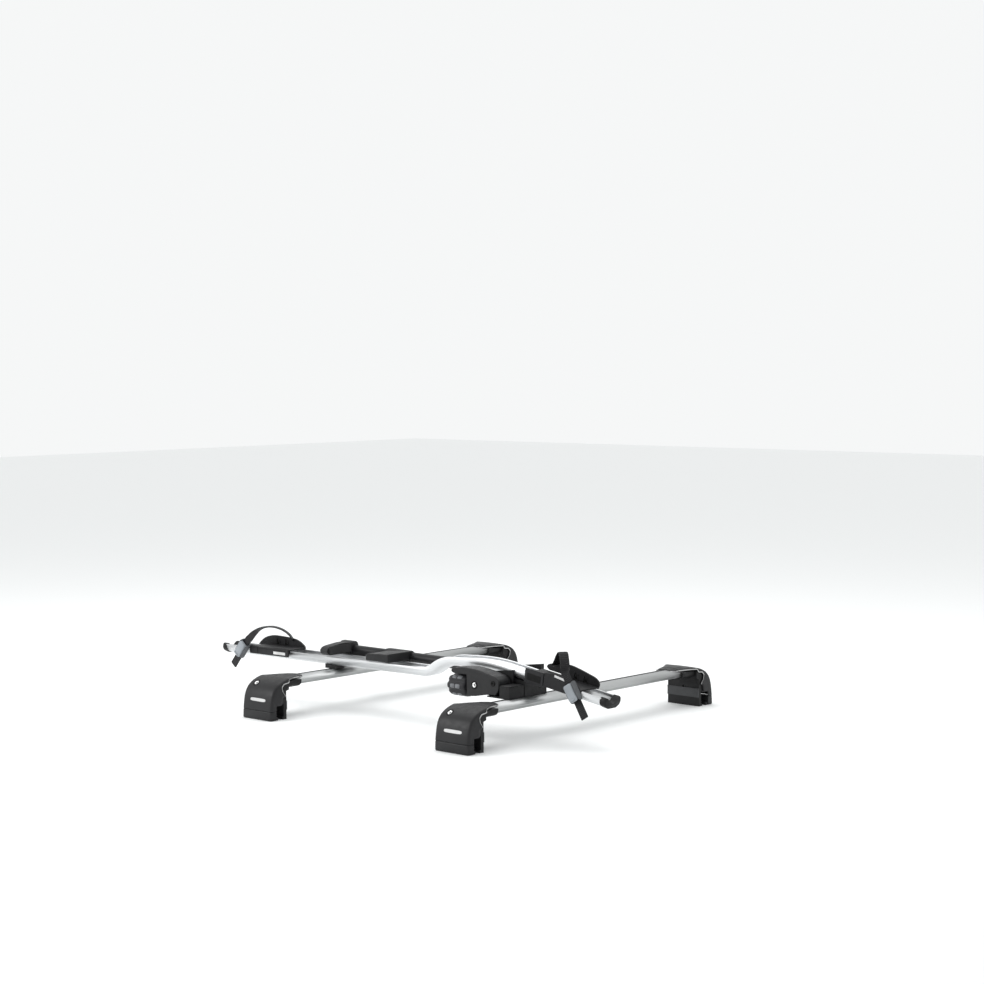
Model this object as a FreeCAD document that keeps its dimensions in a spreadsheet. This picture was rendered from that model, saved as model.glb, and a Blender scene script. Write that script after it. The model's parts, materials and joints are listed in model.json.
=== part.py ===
import FreeCAD, Part
import math
import os

from FreeCAD import Placement, Rotation, Vector

# Roof bicycle carrier on two wing crossbars, folded for storage. Millimetres.
# +X forward, +Y to the car's left, +Z up; the origin is under the middle of the whole object.

doc = FreeCAD.newDocument("RoofBicycleCarrier")
sheet = doc.addObject("Spreadsheet::Sheet", "sizes")

SIZES = {
    # crossbars
    "front_bar_x": 446, "rear_bar_x": -278, "bar_length": 848, "bar_chord": 80, "bar_depth": 25,
    "bar_mid_z": 94.5, "slot_mouth": 11, "slot_width": 21, "slot_depth": 7, "slot_lip": 3,
    # feet, measured outwards from the middle of the car
    "foot_width": 115, "cover_wall": 3, "lip_reach": 374, "lip_z": 109.5, "knuckle_radius": 1.9,
    "trim_proud": 0.6, "body_width": 108, "cradle_length": 62, "pad_z": 38, "pad_thick": 4,
    "pad_width": 14,
    "leg_width": 50, "bolt_z": 52, "bolt_dia": 6, "bolt_head_dia": 10, "lock_dia": 13,
    "lock_length": 9, "lock_offset": -29,
    # wheel rail
    "rail_y": -210, "rail_rear_x": -712, "rail_front_x": 708, "rail_width": 60, "rail_height": 25,
    "rail_wall": 2.2, "rail_rear_z": 114, "cap_length": 13, "front_cap_length": 12.4,
    # frame arm
    "pivot_x": 398, "pivot_z": 142, "shaft_dia": 12, "shaft_length": 170, "tube_y": -150,
    "tube_z": 152, "tube_half_width": 13, "tube_half_height": 15, "tube_wall": 2.5,
    "tube_start": -300, "tube_end": 372, "screw_dia": 8, "housing_near_y": -294,
    "housing_back_y": -248, "casing_wall": 4, "knob_dia": 59, "knob_length": 62, "knob_x": 238,
    "knob_y": -271.5, "knob_z": 124, "spindle_dia": 10, "spindle_start": 278,
    # wheel straps and buckles
    "strap_width": 24, "strap_thick": 3, "buckle_width": 31, "buckle_length": 50, "buckle_depth": 18,
    # running clearance on a radius, and the gap left between pieces that slide past each other
    "running": 0.05, "gap": 0.3,
}
for row, (alias, value) in enumerate(SIZES.items(), start=1):
    sheet.set(f"A{row}", alias)
    sheet.set(f"B{row}", str(value))
    sheet.setAlias(f"B{row}", alias)
doc.recompute()


def size(alias):
    return float(sheet.get(alias))


parts = {}


def keep(node, obj):
    """Names a finished sub-part; its label is the name of its file."""
    obj.Label = node
    parts[node] = obj


# ---------------------------------------------------------------- drawing helpers


def draw(sketch, start, steps):
    """Closed outline: a step is a point for a straight line, or a list of points for a curve."""
    here = start
    for step in list(steps) + [start]:
        points = step if isinstance(step, list) else [step]
        run = [Vector(p[0], p[1], 0) for p in [here] + points]
        if len(run) > 2:
            curve = Part.BSplineCurve()
            curve.interpolate(run)
            sketch.addGeometry(curve, False)
        elif (run[0] - run[1]).Length > 1e-6:
            sketch.addGeometry(Part.LineSegment(run[0], run[1]), False)
        here = points[-1]


def mirrored(steps, side):
    """The same outline on the left (+1) or right (-1) of the car."""
    def flip(p):
        return (side * p[0], p[1])
    return [[flip(p) for p in s] if isinstance(s, list) else flip(s) for s in steps]


def sketch_on(body, name, role, start=None, steps=()):
    plane = next(f for f in body.Origin.OriginFeatures if f.Role == role)
    sketch = body.newObject("Sketcher::SketchObject", name)
    sketch.AttachmentSupport = [(plane, "")]
    sketch.MapMode = "FlatFace"
    if start is not None:
        draw(sketch, start, steps)
    return sketch


def new_body(name):
    return doc.addObject("PartDesign::Body", name)


def pad(body, name, role, start, steps, length):
    """Material either side of the plane; length is an expression on the sheet."""
    feature = body.newObject("PartDesign::Pad", name)
    feature.Profile = sketch_on(body, name + "_sketch", role, start, steps)
    feature.Midplane = True
    feature.setExpression("Length", length)
    return feature


def pocket(body, name, role, start, steps, length):
    """A cut through both sides of the plane."""
    feature = body.newObject("PartDesign::Pocket", name)
    feature.Profile = sketch_on(body, name + "_sketch", role, start, steps)
    feature.Midplane = True
    feature.setExpression("Length", length)
    return feature


def plate(name, role, start, steps, length, at=("0", "0", "0")):
    """One extruded body, moved to a place given by three expressions."""
    body = new_body(name)
    pad(body, name + "_pad", role, start, steps, length)
    move(body, at)
    return body


def move(obj, at):
    for axis, expression in zip("xyz", at):
        obj.setExpression(f"Placement.Base.{axis}", str(expression))


def block(name, low, high):
    """A box between two corners, each corner three expressions."""
    box = doc.addObject("Part::Box", name)
    for side, a, b in zip(("Length", "Width", "Height"), low, high):
        box.setExpression(side, f"({b}) - ({a})")
    move(box, low)
    return box


def rod(name, radius, height, at, direction=(0, 0, 1)):
    """A cylinder from a point along a direction; radius, height and place are expressions."""
    cylinder = doc.addObject("Part::Cylinder", name)
    cylinder.setExpression("Radius", str(radius))
    cylinder.setExpression("Height", str(height))
    cylinder.Placement = Placement(Vector(), Rotation(Vector(0, 0, 1), Vector(*direction)))
    move(cylinder, at)
    return cylinder


def fuse(name, *shapes):
    result = doc.addObject("Part::MultiFuse", name)
    result.Shapes = list(shapes)
    result.Refine = True
    return result


def cut(name, base, *tools):
    result = doc.addObject("Part::Cut", name)
    result.Base = base
    result.Tool = tools[0] if len(tools) == 1 else fuse(name + "_tools", *tools)
    return result


def group(name, *shapes):
    result = doc.addObject("Part::Compound", name)
    result.Links = list(shapes)
    return result


def rect(x0, z0, x1, z1):
    return (x0, z0), [(x1, z0), (x1, z1), (x0, z1)]


# ---------------------------------------------------------------- crossbars

HALF_CHORD = size("bar_chord") / 2
HALF_DEPTH = size("bar_depth") / 2
BARS = {"front": "sizes.front_bar_x", "rear": "sizes.rear_bar_x"}
SLOT_TOP = HALF_DEPTH - size("slot_lip")


def wing(grow=0.0):
    """The bar's wing section about its middle, nose towards +X, grown outwards by a gap."""
    w = HALF_CHORD + grow
    d = HALF_DEPTH + grow
    top = [(0.97, 0.3), (0.9, 0.5), (0.7, 0.77), (0.35, 0.95), (0, 0.99), (-0.3, 0.88), (-0.6, 0.66), (-0.85, 0.34),
           (-1, 0.02)]
    bottom = [(-0.85, -0.3), (-0.62, -0.6), (-0.3, -0.85), (0, -0.97), (0.35, -0.96), (0.7, -0.78), (0.9, -0.48), (1, 0)]
    return (w, 0.0), [[(w * x, d * z) for x, z in half] for half in (top, bottom)]


for place, bar_x in BARS.items():
    bar = new_body(f"{place}_bar_body")
    pad(bar, f"{place}_bar_pad", "XZ_Plane", *wing(), "sizes.bar_length")
    mouth = rect(-size("slot_mouth") / 2, SLOT_TOP - 1, size("slot_mouth") / 2, HALF_DEPTH + 2)
    pocket(bar, f"{place}_bar_mouth", "XZ_Plane", *mouth, "sizes.bar_length + 2")
    cavity = rect(-size("slot_width") / 2, SLOT_TOP - size("slot_depth"), size("slot_width") / 2, SLOT_TOP)
    pocket(bar, f"{place}_bar_cavity", "XZ_Plane", *cavity, "sizes.bar_length + 2")
    chambers = {
        "nose": ((14, 6.5), [(27, 5), (34, 0), (27, -6.5), (14, -8)]),
        "tail": ((-14, 7), [(-24, 4.5), (-33, 0), (-24, -4.5), (-14, -7)]),
        "floor": rect(-10.5, -9, 10.5, 0),
    }
    for chamber, shape in chambers.items():
        pocket(bar, f"{place}_bar_{chamber}", "XZ_Plane", *shape, "sizes.bar_length + 2")
    move(bar, (bar_x, "0", "sizes.bar_mid_z"))
    keep(f"crossbar_{place}", bar)

STRIP_SPANS = {"front": ((-371, -299), (-152, 371)), "rear": ((-371, -233), (-187, 371))}
strips = []
for place, spans in STRIP_SPANS.items():
    for index, (low, high) in enumerate(spans):
        strips.append(block(
            f"{place}_strip_{index}",
            (f"{BARS[place]} - sizes.slot_mouth / 2", low, "sizes.bar_mid_z + sizes.bar_depth / 2 - sizes.slot_lip"),
            (f"{BARS[place]} + sizes.slot_mouth / 2", high, "sizes.bar_mid_z + sizes.bar_depth / 2 + 0.1"),
        ))
keep("slot_strips", group("all_slot_strips", *strips))


# ---------------------------------------------------------------- feet

SHOULDER = [(440, 108), (464, 100), (480, 88), (490, 72), (496, 50), (499, 26)]
TRIM_LINE = [(432.5, 97), (450, 95), (458, 87), (455, 75), (447, 66), (445, 61)]
LOCK_LEAN = math.radians(37)


def offset_in(points, gap):
    """The shoulder curve moved towards the inside of the cover."""
    moved = []
    for before, point, after in zip([(412, 111.3)] + points[:-1], points, points[1:] + [(499.4, 12)]):
        along = math.hypot(after[0] - before[0], after[1] - before[1])
        moved.append((point[0] + gap * (after[1] - before[1]) / along,
                      point[1] - gap * (after[0] - before[0]) / along))
    return moved


def foot_cover(name, side, bar_x):
    body = new_body(f"{name}_cover_body")
    lip = size("lip_reach")
    mid = size("lip_z")
    round_lip = size("knuckle_radius")
    edge = [(lip, mid + round_lip), (412, 111.3), SHOULDER, (478.5, 26), (478.5, 39), (462, 39.5)]
    edge += [(457, 41), (453, 60)] + TRIM_LINE[::-1] + [(430, 106), (414, 107.6)]
    pad(body, f"{name}_cover_pad", "YZ_Plane", (side * lip, mid - round_lip), mirrored(edge, side),
        "sizes.foot_width")
    inside = offset_in(SHOULDER, size("cover_wall"))
    inside[-1] = (496, 20)
    hollow = [[(414, 108)] + inside, (400, 20)]
    pocket(body, f"{name}_cover_hollow", "YZ_Plane", (side * 400, 107.8), mirrored(hollow, side),
           "sizes.foot_width - 2 * sizes.cover_wall")
    for hand in (1, -1):
        taper = [(hand * 60, side * 360), (hand * 60, side * 432), [(hand * 48, side * 412), (hand * 30, side * 390),
                                                                 (hand * 20, side * 371)]]
        pocket(body, f"{name}_cover_taper_{'front' if hand > 0 else 'rear'}", "XY_Plane",
               (hand * 20, side * 360), taper, "300 mm")
    move(body, (bar_x, "0", "0"))
    out = (0, side * math.sin(LOCK_LEAN), math.cos(LOCK_LEAN))
    lock_x = f"{bar_x} + sizes.lock_offset"

    def along(depth):
        """A point under the shoulder on the lock's axis."""
        return (lock_x, side * (472 - depth * math.sin(LOCK_LEAN)), 94.6 - depth * math.cos(LOCK_LEAN))

    cup = rod(f"{name}_lock_cup", 10, 7, along(8.5), out)
    knuckle = rod(f"{name}_knuckle", "sizes.knuckle_radius", 40, (f"{bar_x} - 20", side * lip, "sizes.lip_z"), (1, 0, 0))
    walled = fuse(f"{name}_cover_walled", body, cup, knuckle)
    recess = rod(f"{name}_lock_recess", "sizes.lock_dia / 2 + 2", 10, along(2.2), out)
    hole = rod(f"{name}_lock_hole", "sizes.lock_dia / 2 + sizes.running", 20, along(12), out)
    keep(f"cover_{name}", cut(f"{name}_cover", walled, recess, hole))
    barrel = rod(f"{name}_barrel", "sizes.lock_dia / 2", "sizes.lock_length", along(10.5), out)
    keyway = doc.addObject("Part::Box", f"{name}_keyway")
    keyway.Length, keyway.Width, keyway.Height = 1.4, 7, 4
    in_barrel = Placement(Vector(-0.7, -3.5, size("lock_length") - 3), Rotation())
    start = Vector(size(bar_x.split(".")[1]) + size("lock_offset"), along(10.5)[1], along(10.5)[2])
    keyway.Placement = Placement(start, Rotation(Vector(0, 0, 1), Vector(*out))).multiply(in_barrel)
    keep(f"cover_lock_{name}", cut(f"{name}_lock", barrel, keyway))


def cover_trim(name, side, bar_x):
    """The bright edge line on both cheeks of the cover."""
    grown = [(434.5, 107.5), (435.5, 99.6), (451, 97.8), (461, 88), (457.8, 74), (449.6, 64.8), (448, 60.6)]
    outline = TRIM_LINE + grown[::-1]
    rim = plate(f"{name}_rim", "YZ_Plane", (side * 431, 106), mirrored(outline, side),
                "sizes.foot_width + 2 * sizes.trim_proud", (bar_x, "0", "0"))
    core = block(f"{name}_rim_core", (f"{bar_x} - sizes.foot_width / 2", -600, 0),
                 (f"{bar_x} + sizes.foot_width / 2", 600, 200))
    keep(f"cover_trim_{name}", cut(f"{name}_trim", rim, core))


def foot_body(name, side, bar_x):
    pillar_shape = [(454, 0), (454, 8), (450, 8), (450, 42), (477.5, 42), (477.5, 46), (466, 46), (466, 72),
                    (452, 90), (430, 102), (430, 79), (440, 76)]
    pillar = plate(f"{name}_pillar", "YZ_Plane", (side * 440, 0), mirrored(pillar_shape, side),
                   "sizes.body_width", (bar_x, "0", "0"))
    cradle_shape = [(-47, 2), [(-43, -8), (-24, -15.5), (0, -16.5), (26, -15), (44, -7), (47, 2)], (47, 6)]
    cradle = plate(f"{name}_cradle", "XZ_Plane", (-47, 6), cradle_shape, "sizes.cradle_length",
                   (bar_x, side * 409, "sizes.bar_mid_z"))
    socket = plate(f"{name}_socket", "XZ_Plane", *wing(0.15), "sizes.bar_length + 1",
                   (bar_x, "0", "sizes.bar_mid_z"))
    bolt_hole = rod(f"{name}_bolt_hole", "sizes.bolt_dia / 2 + sizes.running", 60,
                    (bar_x, side * 430, "sizes.bolt_z"), (0, side, 0))
    keep(f"foot_body_{name}", cut(f"{name}_body", fuse(f"{name}_frame", pillar, cradle), socket, bolt_hole))


def clamp(name, side, bar_x):
    claw = new_body(f"{name}_claw_body")
    skirt = [(470.5, 8), (470.5, 0), (500, 0), (499.5, 25.4), (478, 25.4)]
    pad(claw, f"{name}_claw_skirt", "YZ_Plane", (side * 478, 8), mirrored(skirt, side), "sizes.foot_width")
    leg = [(483, 20), (483, 59), (478, 59)]
    pad(claw, f"{name}_claw_leg", "YZ_Plane", (side * 478, 20), mirrored(leg, side), "sizes.leg_width")
    move(claw, (bar_x, "0", "0"))
    through = rod(f"{name}_claw_hole", "sizes.bolt_dia / 2 + sizes.running", 20,
                  (bar_x, side * 470, "sizes.bolt_z"), (0, side, 0))
    bore = rod(f"{name}_claw_bore", "sizes.bolt_head_dia / 2 + sizes.running", 10,
               (bar_x, side * 480, "sizes.bolt_z"), (0, side, 0))
    keep(f"clamp_claw_{name}", cut(f"{name}_claw", claw, through, bore))
    shank = rod(f"{name}_shank", "sizes.bolt_dia / 2", 36, (bar_x, side * 446, "sizes.bolt_z"), (0, side, 0))
    head = rod(f"{name}_head", "sizes.bolt_head_dia / 2", 3.2, (bar_x, side * 480.1, "sizes.bolt_z"), (0, side, 0))
    hexagon = doc.addObject("Part::Prism", f"{name}_hex")
    hexagon.Polygon = 6
    hexagon.Circumradius = 2.9
    hexagon.Height = 10
    hexagon.Placement = Placement(Vector(), Rotation(Vector(0, 0, 1), Vector(0, side, 0)))
    move(hexagon, (bar_x, side * 481.3, "sizes.bolt_z"))
    keep(f"clamp_bolt_{name}", cut(f"{name}_bolt", fuse(f"{name}_bolt_blank", shank, head), hexagon))


pads = []
jaw_plates = []
for place, bar_x in BARS.items():
    for hand, side in (("right", -1), ("left", 1)):
        foot = f"{place}_{hand}"
        foot_body(foot, side, bar_x)
        foot_cover(foot, side, bar_x)
        cover_trim(foot, side, bar_x)
        clamp(foot, side, bar_x)
        inner = side * 455 if side > 0 else -469
        pads.append(block(
            f"{foot}_pad", (f"{bar_x} - sizes.body_width / 2", inner, "sizes.pad_z"),
            (f"{bar_x} + sizes.body_width / 2", f"{inner} + sizes.pad_width", "sizes.pad_z + sizes.pad_thick")))
        face = 437.5 if side > 0 else -440
        jaw_plates.append(block(
            f"{foot}_jaw_plate", (f"{bar_x} - sizes.body_width / 2", face, 25),
            (f"{bar_x} + sizes.body_width / 2", f"{face} + 2.5", 50)))
keep("rail_pads", group("all_rail_pads", *pads))
keep("inner_jaw_plates", group("all_jaw_plates", *jaw_plates))


# ---------------------------------------------------------------- wheel rail

RAIL_Y = size("rail_y")
REAR_END = (size("rail_rear_x"), size("rail_rear_z"))
BEND_LOW = (112.0, 122.2)
BEND_HIGH = (170.0, 159.5)
CREST = (320.0, 167.0)
FRONT_END = (size("rail_front_x"), 106.6)


def rail_floor(x):
    """Height of the rail's underside away from its bends."""
    if x < BEND_LOW[0]:
        a, b = REAR_END, BEND_LOW
    else:
        a, b = CREST, FRONT_END
    return a[1] + (b[1] - a[1]) * (x - a[0]) / (b[0] - a[0])


REAR_SLOPE = math.degrees(math.atan2(BEND_LOW[1] - REAR_END[1], BEND_LOW[0] - REAR_END[0]))
FRONT_SLOPE = math.degrees(math.atan2(FRONT_END[1] - CREST[1], FRONT_END[0] - CREST[0]))


def rounded_path(sketch, corners, tangents):
    """Straight runs joined by tangent arcs; a tangent is how far an arc starts before its corner."""
    here = Vector(*corners[0], 0)
    for corner, after, tangent in zip(corners[1:-1], corners[2:], tangents):
        corner = Vector(*corner, 0)
        back = (here - corner).normalize()
        on = (Vector(*after, 0) - corner).normalize()
        half = back.getAngle(on) / 2
        start = corner + back * tangent
        end = corner + on * tangent
        bisector = (back + on).normalize()
        radius = tangent * math.tan(half)
        middle = corner + bisector * (tangent / math.cos(half) - radius)
        sketch.addGeometry(Part.LineSegment(here, start), False)
        sketch.addGeometry(Part.Arc(start, middle, end), False)
        here = end
    sketch.addGeometry(Part.LineSegment(here, Vector(*corners[-1], 0)), False)


def channel_section(half, tall, wall):
    """Shallow open channel with flared sides and small inward lips, about its bottom middle."""
    right = [(14, 0), (half - 5, 6.5), (half, 15), (half, tall), (half - 4, tall), (half - 4, tall - wall),
             (half - wall, tall - wall), (half - wall, 15.6), (half - 6.4, 8.4), (13.4, wall)]
    return (-14, 0), right + [(-x, z) for x, z in reversed(right[1:])]


rail = new_body("rail_body")
path = sketch_on(rail, "rail_path", "XZ_Plane")
rounded_path(path, [REAR_END, BEND_LOW, BEND_HIGH, CREST, FRONT_END], [30, 30, 60])
section = sketch_on(rail, "rail_section", "YZ_Plane",
                    *channel_section(size("rail_width") / 2, size("rail_height"), size("rail_wall")))
section.setExpression("AttachmentOffset.Base.z", "sizes.rail_rear_x")
section.setExpression("AttachmentOffset.Base.y", "sizes.rail_rear_z")
pipe = rail.newObject("PartDesign::AdditivePipe", "rail_pipe")
pipe.Profile = section
pipe.Spine = (path, [])
rail.Tip = pipe
move(rail, ("0", "sizes.rail_y", "0"))


def tilted_rod(name, radius, low, high, x):
    """A cylinder standing square on the sloping rail at x, from low to high above its underside."""
    slope = math.radians(FRONT_SLOPE)
    up = Vector(-math.sin(slope), 0, math.cos(slope))
    foot = Vector(x, RAIL_Y, rail_floor(x)) + up * low
    cylinder = doc.addObject("Part::Cylinder", name)
    cylinder.Radius = radius
    cylinder.Height = high - low
    cylinder.Placement = Placement(foot, Rotation(Vector(0, 0, 1), up))
    return cylinder


SCREW_X = (412, 440)
screw_holes = [tilted_rod(f"rail_hole_{x}", 2.5, -14, 6, x) for x in SCREW_X]
t_hole = rod("rail_t_hole", 2.6, 30, ("sizes.rear_bar_x", "sizes.rail_y", 105))
keep("wheel_rail", cut("rail_drilled", rail, *screw_holes, t_hole))
screws = [fuse(f"rail_screw_{x}", tilted_rod(f"screw_shank_{x}", 2.5, -14, 3, x),
               tilted_rod(f"screw_head_{x}", 5, size("rail_wall"), 5.4, x)) for x in SCREW_X]
keep("rail_screws", group("all_rail_screws", *screws))

CAP_SHAPE = [(14, -1), (26, 5.5), [(31, 14), (30, 24), (24, 27.5), (17, 24)], (0, 11), (-17, 24),
             [(-24, 27.5), (-30, 24), (-31, 14), (-26, 5.5)]]
keep("rail_cap_rear", plate("rear_cap", "YZ_Plane", (-14, -1), CAP_SHAPE, "sizes.cap_length",
                            ("sizes.rail_rear_x - sizes.cap_length / 2", "sizes.rail_y", REAR_END[1] + 0.1)))


def on_rail(name, shapes, x, slope):
    """Places pieces drawn about the rail's underside where the rail passes x."""
    whole = fuse(name + "_blank", *shapes) if len(shapes) > 1 else shapes[0]
    frame = doc.addObject("Part::Compound", name + "_placed")
    frame.Links = [whole]
    frame.Placement = Placement(Vector(x, RAIL_Y, rail_floor(x)), Rotation(Vector(0, 1, 0), -slope))
    return frame


front_cap = plate("front_cap", "YZ_Plane", (-14, -1), CAP_SHAPE, "sizes.front_cap_length",
                  ("sizes.front_cap_length / 2 + sizes.gap", "0", "0"))
keep("rail_cap_front", on_rail("front_cap", [front_cap], FRONT_END[0], FRONT_SLOPE))


# ---------------------------------------------------------------- brackets on the bars

BAR_TOP = size("bar_mid_z") + HALF_DEPTH + 0.2
WALL_BACK, WALL_FRONT = 424, 456
NEAR_TOP, FAR_TOP, LID = 137, 123, 3
under = [(372, BAR_TOP), (WALL_FRONT, BAR_TOP), (WALL_FRONT, rail_floor(WALL_FRONT) - 0.2),
         (372, rail_floor(372) - 0.2)]
centre = plate("base_centre", "XZ_Plane", under[0], under[1:], "56 mm", ("0", "sizes.rail_y", "0"))
near_wall = block("base_near", (WALL_BACK, -298, BAR_TOP), (WALL_FRONT, -241, NEAR_TOP))
far_wall = block("base_far", (WALL_BACK, -183, BAR_TOP), (WALL_FRONT, -153, FAR_TOP))
near_floor = block("base_near_floor", (381, -298, BAR_TOP), (WALL_BACK, -237, 110.5))
far_floor = block("base_far_floor", (372, -183, BAR_TOP), (WALL_BACK, -120, 112))
near_cheek = plate("base_near_cheek", "XZ_Plane", (381, BAR_TOP),
                   [(WALL_BACK, BAR_TOP), (WALL_BACK, 174), (339, 163), (339, 148), (372, 128)],
                   "5 mm", ("0", -243.5, "0"))
far_cheek = plate("base_far_cheek", "XZ_Plane", (372, BAR_TOP),
                  [(419, BAR_TOP), (419, 176), (344, 166), (344, 152), (364, 134)],
                  "13 mm", ("0", -126.5, "0"))
solid_base = fuse("base_blank", centre, near_wall, far_wall, near_floor, far_floor, near_cheek, far_cheek)
shaft_hole = rod("base_shaft_hole", "sizes.shaft_dia / 2 + sizes.running", 220,
                 ("sizes.pivot_x", -310, "sizes.pivot_z"), (0, 1, 0))
near_pocket = block("near_pocket", (430, -285, 113), (453, -249, 160))
far_pocket = block("far_pocket", (430, -181, 113), (453, -156, 160))
T_BOLTS = ((446, -268), (446, -169))
bolt_holes = [rod(f"base_bolt_hole_{-y}", 2.6, 20, (x, y, 100)) for x, y in T_BOLTS]
base_screw_holes = [tilted_rod(f"base_screw_hole_{x}", 2.5, -14, 6, x) for x in SCREW_X]
keep("base_bracket", cut("base", solid_base, shaft_hole, near_pocket, far_pocket, *bolt_holes, *base_screw_holes))
lids = (block("near_lid", (WALL_BACK + 1, -297, NEAR_TOP), (WALL_FRONT - 1, -247, NEAR_TOP + LID)),
        block("far_lid", (WALL_BACK + 1, -179, FAR_TOP), (WALL_FRONT - 1, -154, FAR_TOP + LID)))
keep("base_lids", group("both_lids", *lids))

bracket_top = rail_floor(-300) - 0.1
bracket = block("rear_bracket_block", (-300, -226, BAR_TOP), (-256, -194, bracket_top))
keep("rear_bracket", cut("rear_bracket_drilled", bracket,
                         rod("bracket_hole", 2.6, 40, ("sizes.rear_bar_x", "sizes.rail_y", 90))))

SLOT_CEILING = size("bar_mid_z") + SLOT_TOP
bolts = []
nuts = []
for x, y, tip, seat in ((446, -268, 124, 113), (446, -169, 122, 113),
                        (size("rear_bar_x"), RAIL_Y, 130, rail_floor(-278) + size("rail_wall") + 0.4)):
    tag = f"{int(x)}_{int(-y)}".replace("-", "m")
    bolts.append(fuse(f"t_bolt_{tag}", rod(f"t_shank_{tag}", 2.5, tip - SLOT_CEILING + 3, (x, y, SLOT_CEILING - 3)),
                      block(f"t_head_{tag}", (x - 9, y - 7, SLOT_CEILING - 4.1), (x + 9, y + 7, SLOT_CEILING - 0.1))))
    nut = doc.addObject("Part::Prism", f"nut_blank_{tag}")
    nut.Polygon = 6
    nut.Circumradius = 4.6
    nut.Height = 4
    move(nut, (x, y, seat))
    nuts.append(cut(f"nut_{tag}", nut, rod(f"nut_hole_{tag}", 2.5, 10, (x, y, seat - 1))))
keep("t_bolts", group("all_t_bolts", *bolts))
keep("clamp_nuts", group("all_nuts", *nuts))


# ---------------------------------------------------------------- frame arm

keep("pivot_shaft", fuse("shaft", rod("shaft_rod", "sizes.shaft_dia / 2", "sizes.shaft_length",
                                      ("sizes.pivot_x", -288, "sizes.pivot_z"), (0, 1, 0)),
                         rod("shaft_head", 10, 3, ("sizes.pivot_x", -119.5, "sizes.pivot_z"), (0, 1, 0))))


def oval(name, half_width, half_height, start, end):
    """An elliptical bar along the arm."""
    ellipse = doc.addObject("Part::Ellipse", name + "_oval")
    ellipse.setExpression("MajorRadius", half_height)
    ellipse.setExpression("MinorRadius", half_width)
    ellipse.Placement = Placement(Vector(), Rotation(Vector(0, 1, 0), -90))
    bar = doc.addObject("Part::Extrusion", name)
    bar.Base = ellipse
    bar.DirMode = "Custom"
    bar.Dir = Vector(1, 0, 0)
    bar.Solid = True
    bar.setExpression("LengthFwd", f"({end}) - ({start})")
    ellipse.setExpression("Placement.Base.x", str(start))
    ellipse.setExpression("Placement.Base.y", "sizes.tube_y")
    ellipse.setExpression("Placement.Base.z", "sizes.tube_z")
    return bar


W, H, T = "sizes.tube_half_width", "sizes.tube_half_height", "sizes.tube_wall"
tube_outer = oval("tube_outer", W, H, "sizes.tube_start", "sizes.tube_end")
tube_inner = oval("tube_inner", f"{W} - {T}", f"{H} - {T}", "sizes.tube_start - 1", "sizes.tube_end + 1")
tube_slot = block("tube_slot", (-200, -153, 130), (-62, -147, 145))
keep("arm_tube", cut("tube", tube_outer, tube_inner, tube_slot))
keep("screw_rod", rod("screw", "sizes.screw_dia / 2", 600, (-250, "sizes.tube_y", "sizes.tube_z"), (1, 0, 0)))

hub_shape = [[(422.5, 142), (398, 166.5)], (350, 170), (350, 134)]
hub = plate("hub_blank", "XZ_Plane", (388, 119.6), hub_shape, "30 mm", ("0", "sizes.tube_y", "0"))
hub_bore = rod("hub_bore", "sizes.shaft_dia / 2", 60, ("sizes.pivot_x", -180, "sizes.pivot_z"), (0, 1, 0))
hub_socket = oval("hub_socket", W, H, "340", "sizes.tube_end")
keep("arm_hub", cut("hub", hub, hub_bore, hub_socket))


def jaw(name, sleeve, finger, tube_from, tube_to, clearance):
    """A sleeve on the tube with a finger that reaches over the rail."""
    around = plate(name + "_sleeve", "XZ_Plane", sleeve[0], sleeve[1:], "36 mm", ("0", "sizes.tube_y", "0"))
    hole = oval(name + "_hole", f"{W} + {clearance}", f"{H} + {clearance}", tube_from, tube_to)
    return cut(name + "_shape", fuse(name + "_blank", around, finger), hole)


upper_sleeve = [(-258, 132), (-258, 181), [(-280, 181), (-302, 174), (-314, 160), (-308, 142), (-296, 132)]]
upper_finger = plate("upper_jaw_finger", "YZ_Plane", (-160, 147.5),
                     [(-160, 180), [(-187, 181), (-235, 176.5), (-258, 173)], [(-269, 163), (-262, 151), (-250, 147.5)]],
                     "28 mm", (-272, "0", "0"))
keep("upper_jaw", jaw("upper_jaw", upper_sleeve, upper_finger, "sizes.tube_start", "-250", "0"))
lower_finger = plate("lower_jaw_finger", "XZ_Plane", (-130, 147.5),
                     [(-130, 156), (-112, 166), (-30, 171.5), (-30, 147.5)], "84 mm", ("0", -204, "0"))
lower = jaw("lower_jaw", [(-132, 131), (-132, 160), (-112, 170), (-30, 170), (-30, 131)], lower_finger,
            "-160", "0", "sizes.gap")
nut_ring = rod("jaw_nut_ring", 8, 20, (-100, "sizes.tube_y", "sizes.tube_z"), (1, 0, 0))
nut_stalk = block("jaw_nut_stalk", (-96, -152.5, 132), (-84, -147.5, 148))
lower_blank = fuse("lower_jaw_blank_all", lower, nut_ring, nut_stalk)
keep("lower_jaw", cut("lower_jaw_all", lower_blank,
                      rod("jaw_nut_hole", "sizes.screw_dia / 2 + sizes.running", 40,
                          (-110, "sizes.tube_y", "sizes.tube_z"), (1, 0, 0))))
keep("upper_jaw_pad", block("upper_pad", (-258, -250, 151), (-254, -170, 173)))
keep("lower_jaw_pad", plate("lower_pad", "XZ_Plane", (-129.16, 156.53),
                            [(-112.53, 165.77), (-113.99, 168.39), (-130.62, 159.15)], "60 mm", ("0", -206, "0")))

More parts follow.
